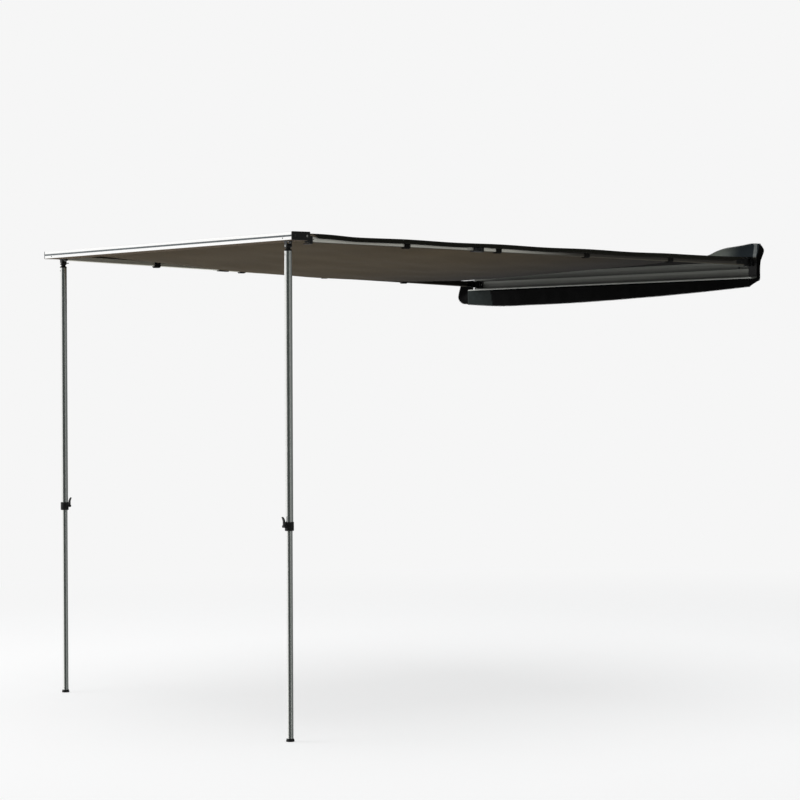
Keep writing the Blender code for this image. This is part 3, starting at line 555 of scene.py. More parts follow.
@dataclass(frozen=True)
class WovenCloth:
    """Woven cloth in plain weave: threads across and along it, matt and softly clouded.

    The real threads are about half a millimetre apart. They are drawn coarser so that they show: a wave
    of the pattern is about three times thread_mm.
    """

    name: str
    tones: Tones
    thread_mm: float
    roughness: float = 0.85
    sheen: float = 0.04
    cloud_m: float = 0.25
    relief_mm: float = 0.15
    relief: float = 0.4
    unevenness: float = 0.6
    shadow: str = "#3A3A3A"
    shadow_share: float = 0.22
    specular: float = 0.1
    painted_underside_shade: str | None = None
    painted_underside_reach: Pair = (-1.7, -0.4)
    painted_underside_facing: Pair = (0.0, -0.3)

    def build(self) -> Material:
        """Make the material."""
        surface = Surface(self.name)
        space = surface.space()
        scale = 1 / (WAVE_SCALE * self.thread_mm * MM)
        threads = [surface.add("TexWave", {"bands_direction": way}, Vector=space, Scale=scale, Detail=1.0,
                               Distortion=self.unevenness).outputs["Fac"] for way in "XY"]
        weave = surface.reckon("MULTIPLY", *threads)
        colour = surface.mottled(space, self.cloud_m, self.tones, 5.0)
        # Painted shade: the underside darkens towards the backboard.
        if self.painted_underside_shade:
            dim = surface.faded(colour, self.painted_underside_shade, self.painted_underside_reach)
            colour = surface.mix(surface.facing("Z", self.painted_underside_facing), colour, dim)
        colour = surface.mix(surface.spread(weave, self.shadow_share, 0.0), colour, self.shadow, "MULTIPLY")
        surface.give(Base_Color=colour, Roughness=self.roughness, Specular_IOR_Level=self.specular,
                     Sheen_Weight=self.sheen, Sheen_Roughness=0.5,
                     Normal=surface.bump(weave, self.relief, self.relief_mm))
        return surface.material


@dataclass(frozen=True)
class CoatedCover:
    """Polyester coated with soft PVC: near black, with a fine leathery emboss and a dull shine."""

    name: str = "pvc_coated_polyester"
    tones: Tones = ("#010101", "#040404")
    rough: Pair = (0.52, 0.78)
    specular: float = 0.05
    emboss_mm: float = 1.8
    emboss_relief: Pair = (0.35, 0.12)
    crease_m: float = 0.05
    crease_relief: Pair = (0.5, 3.0)
    cloud_m: float = 0.06
    near_shade: str | None = None
    near_reach: Pair = (0.74, 0.90)

    def build(self) -> Material:
        """Make the material."""
        surface = Surface(self.name)
        space = surface.space()
        cells = surface.add("TexVoronoi", {"feature": "SMOOTH_F1"}, Vector=space,
                            Scale=1 / (self.emboss_mm * MM))
        crease = surface.noise(space, self.crease_m, 5.0)
        colour = surface.mottled(space, self.cloud_m, self.tones, 5.0)
        if self.near_shade:
            colour = surface.faded(colour, self.near_shade, self.near_reach, "X")
        emboss = surface.bump(cells.outputs["Distance"], *self.emboss_relief)
        surface.give(Base_Color=colour, Specular_IOR_Level=self.specular,
                     Roughness=surface.spread(crease, *self.rough),
                     Normal=surface.bump(crease, *self.crease_relief, Normal=emboss))
        return surface.material


class Kit:
    """All finishes, built once."""

    def __init__(self) -> None:
        """Build each material."""
        # The two arms are one aluminium in lit and shaded copies: their tones, metallic shares and painted
        # shades differ with the light on each.
        self.arm_tubes = {
            "near": DrawnAluminium("drawn_aluminium_near_arm", ("#E6E3D8", "#F2EFE4"), (0.40, 0.54),
                                   Direction.OUT, metallic=0.4, painted_rear_shade="#403D37", painted_under_shade="#6E6A60",
                                   sleeve=-0.105).build(),
            "far": DrawnAluminium("drawn_aluminium_far_arm", ("#C9C7BC", "#E0DED4"), (0.34, 0.48),
                                  Direction.OUT, painted_rear_shade="#403D37", sleeve=-0.105).build()}
        self.leg_tube = DrawnAluminium("drawn_aluminium_leg", ("#DDDEDB", "#EBEBE9"), (0.08, 0.22),
                                       Direction.UP, 1.2, stretch=400.0, relief=(0.25, 0.004)).build()
        # The beam's faces that look down get painted shade.
        self.beam = DrawnAluminium("extruded_aluminium_beam", ("#F0F0EF", "#FAFAF9"), (0.24, 0.38),
                                   Direction.ALONG, painted_under_shade="#8E8070").build()
        self.board = AnodisedBoard().build()
        self.nylon = MouldedNylon().build()
        # A grey strip that paints the shadow in the beam's groove.
        self.groove_shade_strip = MouldedNylon("grey_strip_painted_groove_shade", ("#565B5D", "#646A6C"), (0.55, 0.70)).build()
        self.bracket = PowderCoat().build()
        self.zinc = ZincSteel().build()
        # The canvas's underside darkens towards the backboard: painted shade.
        self.canvas = WovenCloth("pu_coated_canvas", ("#5F5139", "#6A5B41"), 1.6, painted_underside_shade="#171209").build()
        # Near-black woven tape: the cover's piping, and painted shade on the canopy's hems.
        self.edge_tape_and_hem_shade = WovenCloth("dark_tape_and_painted_hem_shade", ("#12120C", "#1D1C15"), 1.2, cloud_m=0.03).build()
        self.strap = WovenCloth("polyester_webbing", ("#0B0B09", "#161512"), 1.8, cloud_m=0.02,
                                relief_mm=0.4).build()
        self.cover = CoatedCover().build()
        self.cover_inside = CoatedCover("pvc_cover_woven_back", ("#666C66", "#767C76"), (0.50, 0.76),
                                        near_shade="#20262A").build()
        self.cover_tape = WovenCloth("grey_binding_tape", ("#787C7B", "#888C8B"), 1.2, cloud_m=0.02).build()
        self.cover_facing = CoatedCover("pvc_cover_corner_facing", ("#262B2A", "#303635"),
                                        (0.46, 0.72)).build()
        self.thread = WovenCloth("bonded_thread", ("#1B1A16", "#2A2822"), 0.5, sheen=0.6,
                                 cloud_m=0.01).build()

    def dress_frame(self) -> None:
        """Give every CAD node that stays the finish of the real piece."""
        arms = {f"{side}_arm_{part}": self.arm_tubes[side] for side in SIDES for part in ("outer", "inner")}
        finishes = {**arms, "leg_upper": self.leg_tube, "leg_lower": self.leg_tube, "front_beam": self.beam,
                    "backboard": self.board, "pin": self.zinc, "tee_bolt": self.zinc, "bracket": self.bracket,
                    "leg_fork": self.bracket, "bead": self.canvas}
        for name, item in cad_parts.items():
            found = next((finish for key, finish in finishes.items() if key in name), self.nylon)
            for place in item.material_slots:
                place.material = found


def new_piece(name: str, mesh: Mesh, material: Material, body: str = "root", angle: float = 40.0) -> Item:
    """Link a piece in its finish and let it ride on a body.

    Args:
        name: The piece's name.
        mesh: Its mesh in the row frame.
        material: Its finish.
        body: The CAD body that it rides on.
        angle: Edges sharper than this stay sharp, in degrees.

    Returns:
        The piece.
    """
    item = bpy.data.objects.new(name, mesh)
    bpy.context.scene.collection.objects.link(item)
    if not mesh.materials:
        mesh.materials.append(material)
    mesh.shade_smooth()
    mesh.set_sharp_from_angle(angle=math.radians(angle))
    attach(item, body)
    LOG.info("%s: %d faces", name, len(mesh.polygons))
    return item


def points_mesh(name: str, spots: list[Vector], faces: list[tuple[int, ...]]) -> Mesh:
    """Make a mesh from its points and its faces.

    Args:
        name: The mesh's name.
        spots: The points.
        faces: The numbers of each face's points.

    Returns:
        The mesh.
    """
    mesh = bpy.data.meshes.new(name)
    mesh.from_pydata(spots, [], faces)
    return mesh


def grid_mesh(name: str, point: Place, columns: int, rows: int) -> Mesh:
    """A grid whose points are placed by their two shares.

    Args:
        name: The mesh's name.
        point: The place of a pair of shares, each from 0 to 1.
        columns: Faces along the first share.
        rows: Faces along the second share.

    Returns:
        The mesh.
    """
    spots = [point(column / columns, row / rows) for row in range(rows + 1) for column in range(columns + 1)]
    step = columns + 1
    starts = [row * step + column for row in range(rows) for column in range(columns)]
    return points_mesh(name, spots, [(start, start + 1, start + step + 1, start + step) for start in starts])


def lofted_mesh(name: str, rings: list[list[Vector]]) -> Mesh:
    """A skin through rings of points, closed at both ends.

    Args:
        name: The mesh's name.
        rings: The rings, all with as many points.

    Returns:
        The mesh.
    """
    sides, end = len(rings[0]), sum(map(len, rings))
    faces = []
    for low in range(0, end - sides, sides):
        for turn in range(sides):
            after = (turn + 1) % sides
            faces.append((low + turn, low + after, low + sides + after, low + sides + turn))
    faces += [tuple(reversed(range(sides))), tuple(range(end - sides, end))]
    return points_mesh(name, [spot for ring in rings for spot in ring], faces)


def thicken(item: Item, wall: float) -> None:
    """Give an open surface its wall, half of it to each side.

    Args:
        item: The piece.
        wall: The wall in metres.
    """
    shell = item.modifiers.new("Wall", "SOLIDIFY")
    shell.thickness = wall
    shell.offset = 0.0


def tube_mesh(name: str, line: list[Vector], radius: float, sides: int = 8) -> Mesh:
    """A round tube along a line of points, closed at both ends.

    Args:
        name: The mesh's name.
        line: The centreline's points.
        radius: The tube's radius in metres.
        sides: Faces round it.

    Returns:
        The mesh.
    """
    angles = [math.tau * turn / sides for turn in range(sides)]
    rings = []
    side = Vector((0, 0, 1))
    for index, here in enumerate(line):
        ahead = line[min(index + 1, len(line) - 1)] - line[max(index - 1, 0)]
        if abs(ahead.normalized().dot(side)) > 0.95:
            side = Vector((0, 1, 0))
        across = ahead.cross(side).normalized()
        up = across.cross(ahead).normalized()
        rings.append([here + radius * (math.cos(angle) * across + math.sin(angle) * up) for angle in angles])
    return lofted_mesh(name, rings)


def along_line(line: list[Vector], pitch: float) -> list[tuple[Vector, Vector]]:
    """Evenly spaced places on a line of points.

    Args:
        line: The points.
        pitch: The spacing in metres.

    Returns:
        Each place with the line's direction there.
    """
    places, left = [], pitch / 2
    for start, end in zip(line, line[1:]):
        span = (end - start).length
        while left <= span and span > 0:
            places.append((start.lerp(end, left / span), (end - start).normalized()))
            left += pitch
        left -= span
    return places


def beads_mesh(name: str, rows: list[tuple[list[Vector], Vector]], pitch: float,
               size: Triple) -> Mesh:
    """Rows of small lens-shaped bodies, such as stitches or zip teeth.

    Args:
        name: The mesh's name.
        rows: Each row's line of points, with the way that its bodies stand out.
        pitch: Their spacing in metres.
        size: Half of a body's length, width and height in metres.

    Returns:
        The mesh.
    """
    spots, faces = [], []
    corners = ((0, 2, 4), (2, 1, 4), (1, 3, 4), (3, 0, 4), (2, 0, 5), (1, 2, 5), (3, 1, 5), (0, 3, 5))
    for line, outward in rows:
        for place, ahead in along_line(line, pitch):
            across = ahead.cross(outward).normalized()
            up = across.cross(ahead).normalized()
            faces += [tuple(len(spots) + corner for corner in face) for face in corners]
            for way, reach in zip((ahead, across, up), size):
                spots += [place + reach * way, place - reach * way]
    return points_mesh(name, spots, faces)


def ease(value: float, start: float, end: float) -> float:
    """A smooth step from 0 at start to 1 at end.

    Args:
        value: The value.
        start: Where the step starts.
        end: Where it ends.

    Returns:
        The step's height.
    """
    share = min(1.0, max(0.0, (value - start) / (end - start)))
    return share * share * (3 - 2 * share)


def waves_at(waves: tuple[tuple[float, float, float, float], ...], x: float, y: float = 0.0) -> float:
    """The height of some waves laid over each other.

    Args:
        waves: Each wave's height, its turn by x and by y, and its start.
        x: The first coordinate.
        y: The second coordinate.

    Returns:
        The height.
    """
    return sum(height * math.sin(by_x * x + by_y * y + start) for height, by_x, by_y, start in waves)


@dataclass
class Canopy:
    """The canvas roof: one curved sheet with its edges folded down over the arms, and its stitches.

    It sags between the arms, and near the backboard it lies high enough for the near arm to swing in
    under it.
    """

    kit: Kit
    columns: int = 90
    rows: int = 150
    wall: float = 0.0012
    hem_drop: float = 0.017
    hem_relief: float = 0.002
    hem_lock: Pair = (0.030, 0.070)
    hem_rear: Pair = (0.07, 0.13)
    hem_front: Pair = (0.018, 0.050)
    hem_columns: int = 4
    sag: float = 0.060
    sag_power: Pair = (0.8, 4.5)
    sag_lean: float = 0.3
    flat_edge: float = 0.036
    edge_gap: float = 0.0008
    edge_sag: float = 0.0025
    edge_sag_start: Pair = (0.3, 0.6)
    front_run: Pair = (0.25, 0.01)
    rear_run: float = 0.03
    bead_drop: float = 0.0025
    ripple: float = 0.0011
    waves: tuple = ((1.0, 9, 4, 0), (0.8, 17, -6, 1), (0.5, 31, 11, 2))
    clearance: float = 0.0018
    hem_clearance: float = 0.001
    keep: float = 0.69
    fold_slope: float = 0.0155
    arm_top: Pair = (0.0512, -0.0062)
    arm_room: Pair = (0.09, 0.30)
    arm_pass: tuple[float, float, float, float] = (-0.17, -0.09, -0.022, -0.006)
    stitch_rows: Pair = (0.2, 0.85)
    stitch_ends: Pair = (0.14, 0.055)
    stitch_pitch: float = 0.005
    stitch: Triple = (0.0019, 0.0004, 0.0004)
    samples: tuple[int, int] = (50, 40)
    half_width: float = field(init=False)
    front: Vector = field(init=False)
    rear: Vector = field(init=False)
    straps: dict = field(init=False)
    locks: dict = field(init=False)

    def __post_init__(self) -> None:
        """Read the sheet's space from the frame."""
        low, high = map(Vector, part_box("canopy_sheet"))
        self.half_width = high.x - self.edge_gap
        bead = Vector(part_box("front_bead")[1])
        self.front = Vector((0, low.y, bead.z - self.bead_drop))
        self.rear = Vector((0, high.y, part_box("rear_bead")[1][2] + self.clearance / 2))
        self.straps, self.locks = {}, {}
        for side in SIDES:
            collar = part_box(f"{side}_arm_collar")
            self.locks[side] = (collar[0][1] + collar[1][1]) / 2
            boxes = [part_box(f"{side}_strap_{number}") for number in (1, 2, 3, 4)]
            self.straps[side] = [((low[1] + high[1]) / 2, high[2]) for low, high in boxes]

    def edge(self, side: str, y: float) -> float:
        """The height of the sheet's edge over one arm.

        Args:
            side: near or far.
            y: The distance out.

        Returns:
            The height.
        """
        (first_y, first_z), (last_y, last_z) = self.straps[side][0], self.straps[side][-1]
        height = first_z + (last_z - first_z) * (y - first_y) / (last_y - first_y) + self.clearance
        pitch = (last_y - first_y) / (len(self.straps[side]) - 1)
        sag = self.edge_sag * math.sin(math.pi * (y - first_y) / pitch) ** 2
        height -= sag * ease(-y, *self.edge_sag_start)
        front = ease(-y, self.front_run[0] - last_y, -self.front.y - self.front_run[1])
        height += (self.front.z - height) * front
        return height + (self.rear.z - height) * ease(y, first_y + self.rear_run, self.rear.y)

    def point(self, across: float, along: float, hem: float = 0.0) -> Vector:
        """A point of the sheet.

        Args:
            across: From -1 at the far arm to 1 at the near arm.
            along: From 0 at the beam to 1 at the backboard.
            hem: From 0 at the fold to 1 at the hem's lower edge.

        Returns:
            The point.
        """
        y = self.front.y + (self.rear.y - self.front.y) * along
        share = (across + 1) / 2
        height = self.edge("far", y) * (1 - share) + self.edge("near", y) * share
        flat = 1 - self.flat_edge / self.half_width
        lengthwise, crosswise = self.sag_power
        hang = max(0.0, 1 - abs(across / flat) ** crosswise) * (1 - self.sag_lean * across)
        height -= self.sag * math.sin(math.pi * along) ** lengthwise * hang * ease(-y, *self.arm_room)
        passing = ease(y, *self.arm_pass[:2]) * (1 - ease(y, *self.arm_pass[2:]))
        height += max(0.0, self.arm_top[0] + self.arm_top[1] * across - height) * passing
        inside = math.sin(math.pi * along) * (1 - across ** 6)
        x = self.half_width * across
        height += self.ripple * waves_at(self.waves, x, y) * inside
        return Vector((x, y, height - hem * (self.hem(across, y) + self.hem_clearance)))

    def hem(self, across: float, y: float) -> float:
        """How far the folded edge hangs down, less at the arms' locks.

        Args:
            across: Which edge, by its sign.
            y: The distance out.

        Returns:
            The drop.
        """
        lock = self.locks["near" if across > 0 else "far"]
        drop = self.hem_drop - self.hem_relief * (1 - ease(abs(y - lock), *self.hem_lock))
        return drop * ease(-y, *self.hem_rear) * ease(y - self.front.y, *self.hem_front)

    def grid(self, share: float, along: float) -> Vector:
        """A point by its share of all columns, hems included.

        Args:
            share: From 0 at the far hem's edge to 1 at the near one.
            along: From 0 at the beam to 1 at the backboard.

        Returns:
            The point.
        """
        column = round(share * (self.columns + 2 * self.hem_columns)) - self.hem_columns
        across = min(1.0, max(-1.0, 2 * column / self.columns - 1))
        hem = max(-column, column - self.columns, 0) / self.hem_columns
        return self.point(across, along, hem)

    def flat_size(self) -> Pair:
        """Measure the sheet as cut, hems included.

        Returns:
            Its width and its length in metres.
        """
        steps_out, steps_across = self.samples
        middle = [self.point(0, step / steps_out) for step in range(steps_out + 1)]
        row = [self.point(2 * step / steps_across - 1, 0.5) for step in range(steps_across + 1)]
        length, width = (sum((b - a).length for a, b in zip(line, line[1:])) for line in (middle, row))
        return width + 2 * (self.hem_drop + self.hem_clearance), length

    def build(self) -> None:
        """Make the sheet, with its hems in a near-black tape colour that paints their shade, and its
        stitches.
        """
        mesh = grid_mesh("canopy", self.grid, self.columns + 2 * self.hem_columns, self.rows)
        mesh.materials.append(self.kit.canvas)
        # The folded hems take the near-black tape colour: painted shade on the hems.
        mesh.materials.append(self.kit.edge_tape_and_hem_shade)
        step = self.columns + 2 * self.hem_columns
        for face in mesh.polygons:
            column = face.index % step
            if column < self.hem_columns or column >= step - self.hem_columns:
                face.material_index = 1
        sheet = new_piece("canopy", mesh, self.kit.canvas, angle=60)
        thicken(sheet, self.wall)
        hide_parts("canopy_sheet")
        rows = zip(("hem_stitches_top", "hem_stitches_low"), self.stitch_rows)
        pieces = [self.seam(name, hem) for name, hem in rows]
        for item in (sheet, *pieces):
            tuple(self.rear)
            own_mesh(item)
        self.flat_size()

    def seam(self, name: str, hem: float) -> Item:
        """A row of stitches on both hems.

        Args:
            name: The piece's name.
            hem: How far down the hem it runs, from 0 to 1.

        Returns:
            The piece.
        """
        rows = []
        for sign in SIDES.values():
            line = []
            for step in range(self.rows + 1):
                spot = self.point(sign, step / self.rows, hem)
                spot.x += sign * self.wall / 2
                if self.stitch_ends[0] < -spot.y < -self.front.y - self.stitch_ends[1]:
                    line.append(spot)
            rows.append((line, Vector((sign, 0, 0))))
        return new_piece(name, beads_mesh(name, rows, self.stitch_pitch, self.stitch), self.kit.thread)


@dataclass
class StrapLoops:
    """The webbing loops that hold the canopy's edges to the arms, each closed under its arm.
    """

    kit: Kit
    wall: float = 0.0014
    corner: float = 0.0055
    start: float = 0.6
    lap_step: float = 0.0006
    lap_gap: float = 0.0002
    turns: int = 44
    rows: int = 6
    slack: float = 0.0006
    slopes: dict = field(default_factory=lambda: {"near": 0.01555, "far": 0.03407})

    def build(self, canopy: Canopy) -> None:
        """Make the eight loops.

        Args:
            canopy: The roof that they are sewn to.
        """
        for side, sign in SIDES.items():
            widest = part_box(f"{side}_strap_1")
            for number in (1, 2, 3, 4):
                node_name = f"{side}_strap_{number}"
                low, high = map(Vector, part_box(node_name))
                spare = (widest[1][0] - widest[0][0] - high.x + low.x) / 2
                low = Vector((low.x - spare, low.y, high.z - widest[1][2] + widest[0][2]))
                high.x += spare
                mesh = self.loop(low, high, sign, number)
                loop = new_piece(f"{side}_strap_loop_{number}", mesh, self.kit.strap, angle=50)
                thicken(loop, self.wall)
                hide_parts(node_name)
                tuple(canopy.rear)
                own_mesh(loop)

    def loop(self, low: Vector, high: Vector, sign: int, number: int) -> Mesh:
        """One band round an arm, with its ends lapped below.

        Args:
            low: The lowest corner of the loop's space.
            high: The highest corner.
            sign: 1 at the near arm and -1 at the far one.
            number: The loop's number, which varies its slack.

        Returns:
            The mesh.
        """
        middle, half = (low + high) / 2, (high - low) / 2
        width, height = half.x - self.wall / 2, half.z - self.wall / 2 - self.lap_gap
        straight = width - self.corner
        ring = []
        for quarter, (side_x, side_z) in enumerate(((1, -1), (1, 1), (-1, 1), (-1, -1))):
            for step in range(6):
                angle = math.radians(-90 + 90 * quarter + 90 * step / 5)
                ring.append(Vector((side_x * straight + self.corner * math.cos(angle), 0,
                                    side_z * (height - self.corner) + self.corner * math.sin(angle))))
        below = -height - self.wall
        line = [Vector((-straight * self.start, 0, -height)), *ring]
        once_round = len(line)
        line += [ring[-1] - Vector((0, 0, self.lap_step)), Vector((0, 0, below - self.lap_gap)),
                 Vector((straight, 0, below - 2 * self.lap_gap))]

        def point(around: float, along: float) -> Vector:
            place = around * (len(line) - 1)
            index = min(int(place), len(line) - 2)
            spot = line[index].lerp(line[index + 1], place - index)
            give = self.slack * math.sin(math.tau * around * 2 + number) * math.sin(math.pi * along)
            shift = Vector((sign * spot.x, (along - 0.5) * 2 * half.y, spot.z + give * (index < once_round)))
            return middle + shift

        return grid_mesh("strap_loop", point, self.turns, self.rows)


def on_curve(points: tuple[Triple, ...], share: float) -> Vector:
    """A point of the smooth curve through evenly shared points.

    Args:
        points: The points that it passes through.
        share: From 0 at the first to 1 at the last.

    Returns:
        The point.
    """
    spots = [Vector(point) for point in points]
    spots = [2 * spots[0] - spots[1], *spots, 2 * spots[-1] - spots[-2]]
    place = share * (len(points) - 1)
    index = min(int(place), len(points) - 2)
    t = place - index
    a, b, c, d = spots[index:index + 4]
    bend = (2 * a - 5 * b + 4 * c - d) * t ** 2 + (3 * b - a - 3 * c + d) * t ** 3
    return 0.5 * (2 * b + (c - a) * t + bend)


def level(values: tuple[float, ...], share: float) -> float:
    """A value of the smooth curve through evenly shared values.

    Args:
        values: The values that it passes through.
        share: From 0 at the first to 1 at the last.

    Returns:
        The value.
    """
    return on_curve(tuple((0.0, 0.0, value) for value in values), share).z


@dataclass
class Cover:
    """The travel cover, unzipped: a front panel, a top panel and two end panels."""

    kit: Kit
    wall: float = 0.0018
    piping: float = 0.0022
    piping_line: float = 0.985
    tooth_pitch: float = 0.0032
    tooth: Triple = (0.0009, 0.0024, 0.0012)
    flap_half: float = 1.020
    flap_drops: tuple[float, ...] = (0.0692, 0.0807, 0.0822, 0.0817, 0.0757, 0.0672, 0.0600, 0.0500, 0.0350)
    flap_waves: tuple = ((1.0, 9, 0, 0.6), (0.6, 23, 0, 2), (0.25, 61, 0, 0))
    flap_depth: Pair = (0.9, 0.5)
    flap_bulge: float = 0.004
    flap_lean: float = 0.0005
    flap_edge: tuple = ((0.0012, 6.5, 0, 0),)
    top_start: float = 0.580
    top_rises: tuple[float, ...] = (0.0130, 0.0135, 0.0200, 0.0370, 0.0480, 0.0525, 0.0570, 0.0622, 0.0595)
    top_tape: Pair = (0.975, 0.998)
    top_bulge: float = 0.010
    top_waves: tuple = ((0.0007, 17, 0, 0),)
    end_swell: float = 0.003
    end_waves: tuple = ((0.0012, 13, 5, 0),)
    facing_edge: Pair = (-0.839, -0.815)
    front_hinge: Vector = field(default_factory=lambda: Vector((0, -0.0563, -0.0468)))
    top_hinge: Vector = field(default_factory=lambda: Vector((0, -0.0013, 0.0488)))
    sewn: dict = field(default_factory=lambda: {
        "near": ((1.0213, -0.0560, -0.0475), (1.0213, -0.0340, -0.0455), (1.0213, -0.0190, -0.0400),
                 (1.0213, -0.0180, -0.0100), (1.0213, -0.0180, 0.0200), (1.0213, -0.0180, 0.0500)),
        "far": ((-1.0213, -0.0530, -0.0475), (-1.0213, -0.0400, -0.0440), (-1.0213, -0.0220, -0.0400),
                (-1.0213, -0.0160, -0.0150), (-1.0213, -0.0150, 0.0080))})
    loose: dict = field(default_factory=lambda: {
        "near": ((1.0213, -0.0590, -0.0810), (1.0213, -0.0390, -0.0705), (1.0213, -0.0150, -0.0590),
                 (1.0215, 0.0010, -0.0492), (1.0225, 0.0010, -0.0050), (1.0270, 0.0020, 0.0380),
                 (1.0440, 0.0040, 0.0740), (1.0370, 0.0030, 0.0930), (1.0213, 0.0020, 0.1080)),
        "far": ((-1.0213, -0.0530, -0.1135), (-1.0577, -0.0570, -0.1110), (-1.0880, -0.0570, -0.0950),
                (-1.0990, -0.0560, -0.0765), (-1.0935, -0.0530, -0.0440), (-1.0885, -0.0480, -0.0175),
                (-1.0840, -0.0450, 0.0050))})

    def front_point(self, across: float, down: float) -> Vector:
        """A point of the front panel, which hangs from the lip in shallow folds.

        Args:
            across: From 0 at the far end to 1 at the near end.
            down: From 0 at the lip to 1 at the zip.

        Returns:
            The point.
        """
        x = self.flap_half * (2 * across - 1)
        folds = self.flap_depth[0] + self.flap_depth[1] * waves_at(self.flap_waves, x)
        y = -down * (self.flap_bulge * folds * math.sin(math.pi * across) ** 0.4 + self.flap_lean)
        drop = level(self.flap_drops, across) + waves_at(self.flap_edge, x)
        return self.front_hinge + Vector((x, y, -drop * down))

    def top_point(self, across: float, up: float) -> Vector:
        """A point of the top panel, low behind the sheet and standing up at its near end.

        Args:
            across: From 0 at the far end to 1 at the near end.
            up: From 0 at the backboard to 1 at the zip.

        Returns:
            The point.
        """
        x = self.flap_half * (2 * across - 1)
        rise = level(self.top_rises, max(0.0, (x - self.top_start) / (self.flap_half - self.top_start)))
        lean = 0.3 + 0.7 * ease(x, self.top_start, self.flap_half)
        y = self.top_bulge * math.sin(math.pi * up * 0.6) * lean + up * waves_at(self.top_waves, x)
        return self.top_hinge + Vector((x, y, rise * up))

    def end_point(self, side: str, around: float, outward: float) -> Vector:
        """A point of an end panel, from the board's end face out to its loose edge.

        Args:
            side: near or far.
            around: From 0 below to 1 above.
            outward: From 0 at the board to 1 at the zip.

        Returns:
            The point.
        """
        spot = on_curve(self.sewn[side], around).lerp(on_curve(self.loose[side], around), outward)
        swell = self.end_swell * math.sin(math.pi * outward) * math.sin(math.pi * around)
        crease = waves_at(self.end_waves, around, outward) * outward * (1 - outward)
        return spot + Vector((SIDES[side] * (swell + crease), swell, 0))

    def build(self) -> None:
        """Make the panels, their edge piping and the open zip."""
        front = self.panel("cover_front_panel", self.front_point, (220, 10), "cover_front", "cover_front")
        self.face_corner(front)
        top = self.panel("cover_top_panel", self.top_point, (200, 8), "cover_top", "cover_top")
        top.data.materials[0] = self.kit.cover_inside
        top.data.materials.append(self.kit.cover_tape)
        for face in top.data.polygons:
            if self.top_tape[0] < face.center.x < self.top_tape[1]:
                face.material_index = 1
        for side in SIDES:
            def point(around: float, outward: float, side: str = side) -> Vector:
                return self.end_point(side, around, outward)
            self.panel(f"cover_{side}_end_panel", point, (36, 14), f"cover_{side}_end", "root")

    def panel(self, name: str, point: Place, size: tuple[int, int], stands_for: str, body: str) -> Item:
        """One panel with the piping and zip teeth of its loose edge.

        Args:
            name: The piece's name.
            point: The place of a pair of shares.
            size: Faces each way.
            stands_for: The CAD node that it replaces.
            body: The body that it rides on.

        Returns:
            The panel.
        """
        item = new_piece(name, grid_mesh(name, point, *size), self.kit.cover, body, angle=60)
        thicken(item, self.wall)
        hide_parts(stands_for)
        shares = [step / size[0] for step in range(size[0] + 1)]
        edge = [point(share, self.piping_line) for share in shares]
        piping = new_piece(f"{name}_piping", tube_mesh(name, edge, self.piping / 2), self.kit.edge_tape_and_hem_shade, body)
        outward = (point(0.5, 1.0) - point(0.5, 0.0)).normalized()
        rim = [point(share, 1.0) + outward * self.piping / 2 for share in shares]
        upright = (rim[-1] - rim[0]).normalized().cross(outward)
        teeth = beads_mesh(f"{name}_zip", [(rim, upright)], self.tooth_pitch, self.tooth)
        row = new_piece(f"{name}_zip", teeth, self.kit.nylon, body)
        return item

    def face_corner(self, panel: Item) -> None:
        """Give the front panel's far corner its sewn-on facing.

        Args:
            panel: The front panel.
        """
        panel.data.materials.append(self.kit.cover_facing)
        top, bottom = self.facing_edge
        for face in panel.data.polygons:
            down = (self.front_hinge.z - face.center.z) / self.flap_drops[0]
            if face.center.x < top + (bottom - top) * down:
                face.material_index = 1


@dataclass
class GrooveShadeStrip:
    """The grey strip pressed into the beam's groove, with a flange on the beam's face: painted shade for the
    groove's shadow.
    """

    kit: Kit
    end: float = 0.002
    columns: int = 60
    ring: tuple[Pair, ...] = (
        (0.0136, -0.0001), (0.0138, -0.0005), (0.0150, -0.0009), (0.0172, -0.0011), (0.0194, -0.0009),
        (0.0206, -0.0005), (0.0208, -0.0001), (0.0204, -0.0001), (0.0204, 0.0055), (0.0171, 0.0055),
        (0.0171, -0.0001))

    def build(self) -> None:
        """Make the strip from its section's points, each a height and a depth from the beam's corner."""
        low, high = map(Vector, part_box("front_beam"))
        rings = []
        for column in range(self.columns + 1):
            x = low.x + self.end + (high.x - low.x - 2 * self.end) * column / self.columns
            rings.append([Vector((x, low.y + depth, low.z + height)) for height, depth in self.ring])
        name = "beam_groove_shade_strip"
        new_piece(name, lofted_mesh(name, rings), self.kit.groove_shade_strip, "front_beam", angle=50)


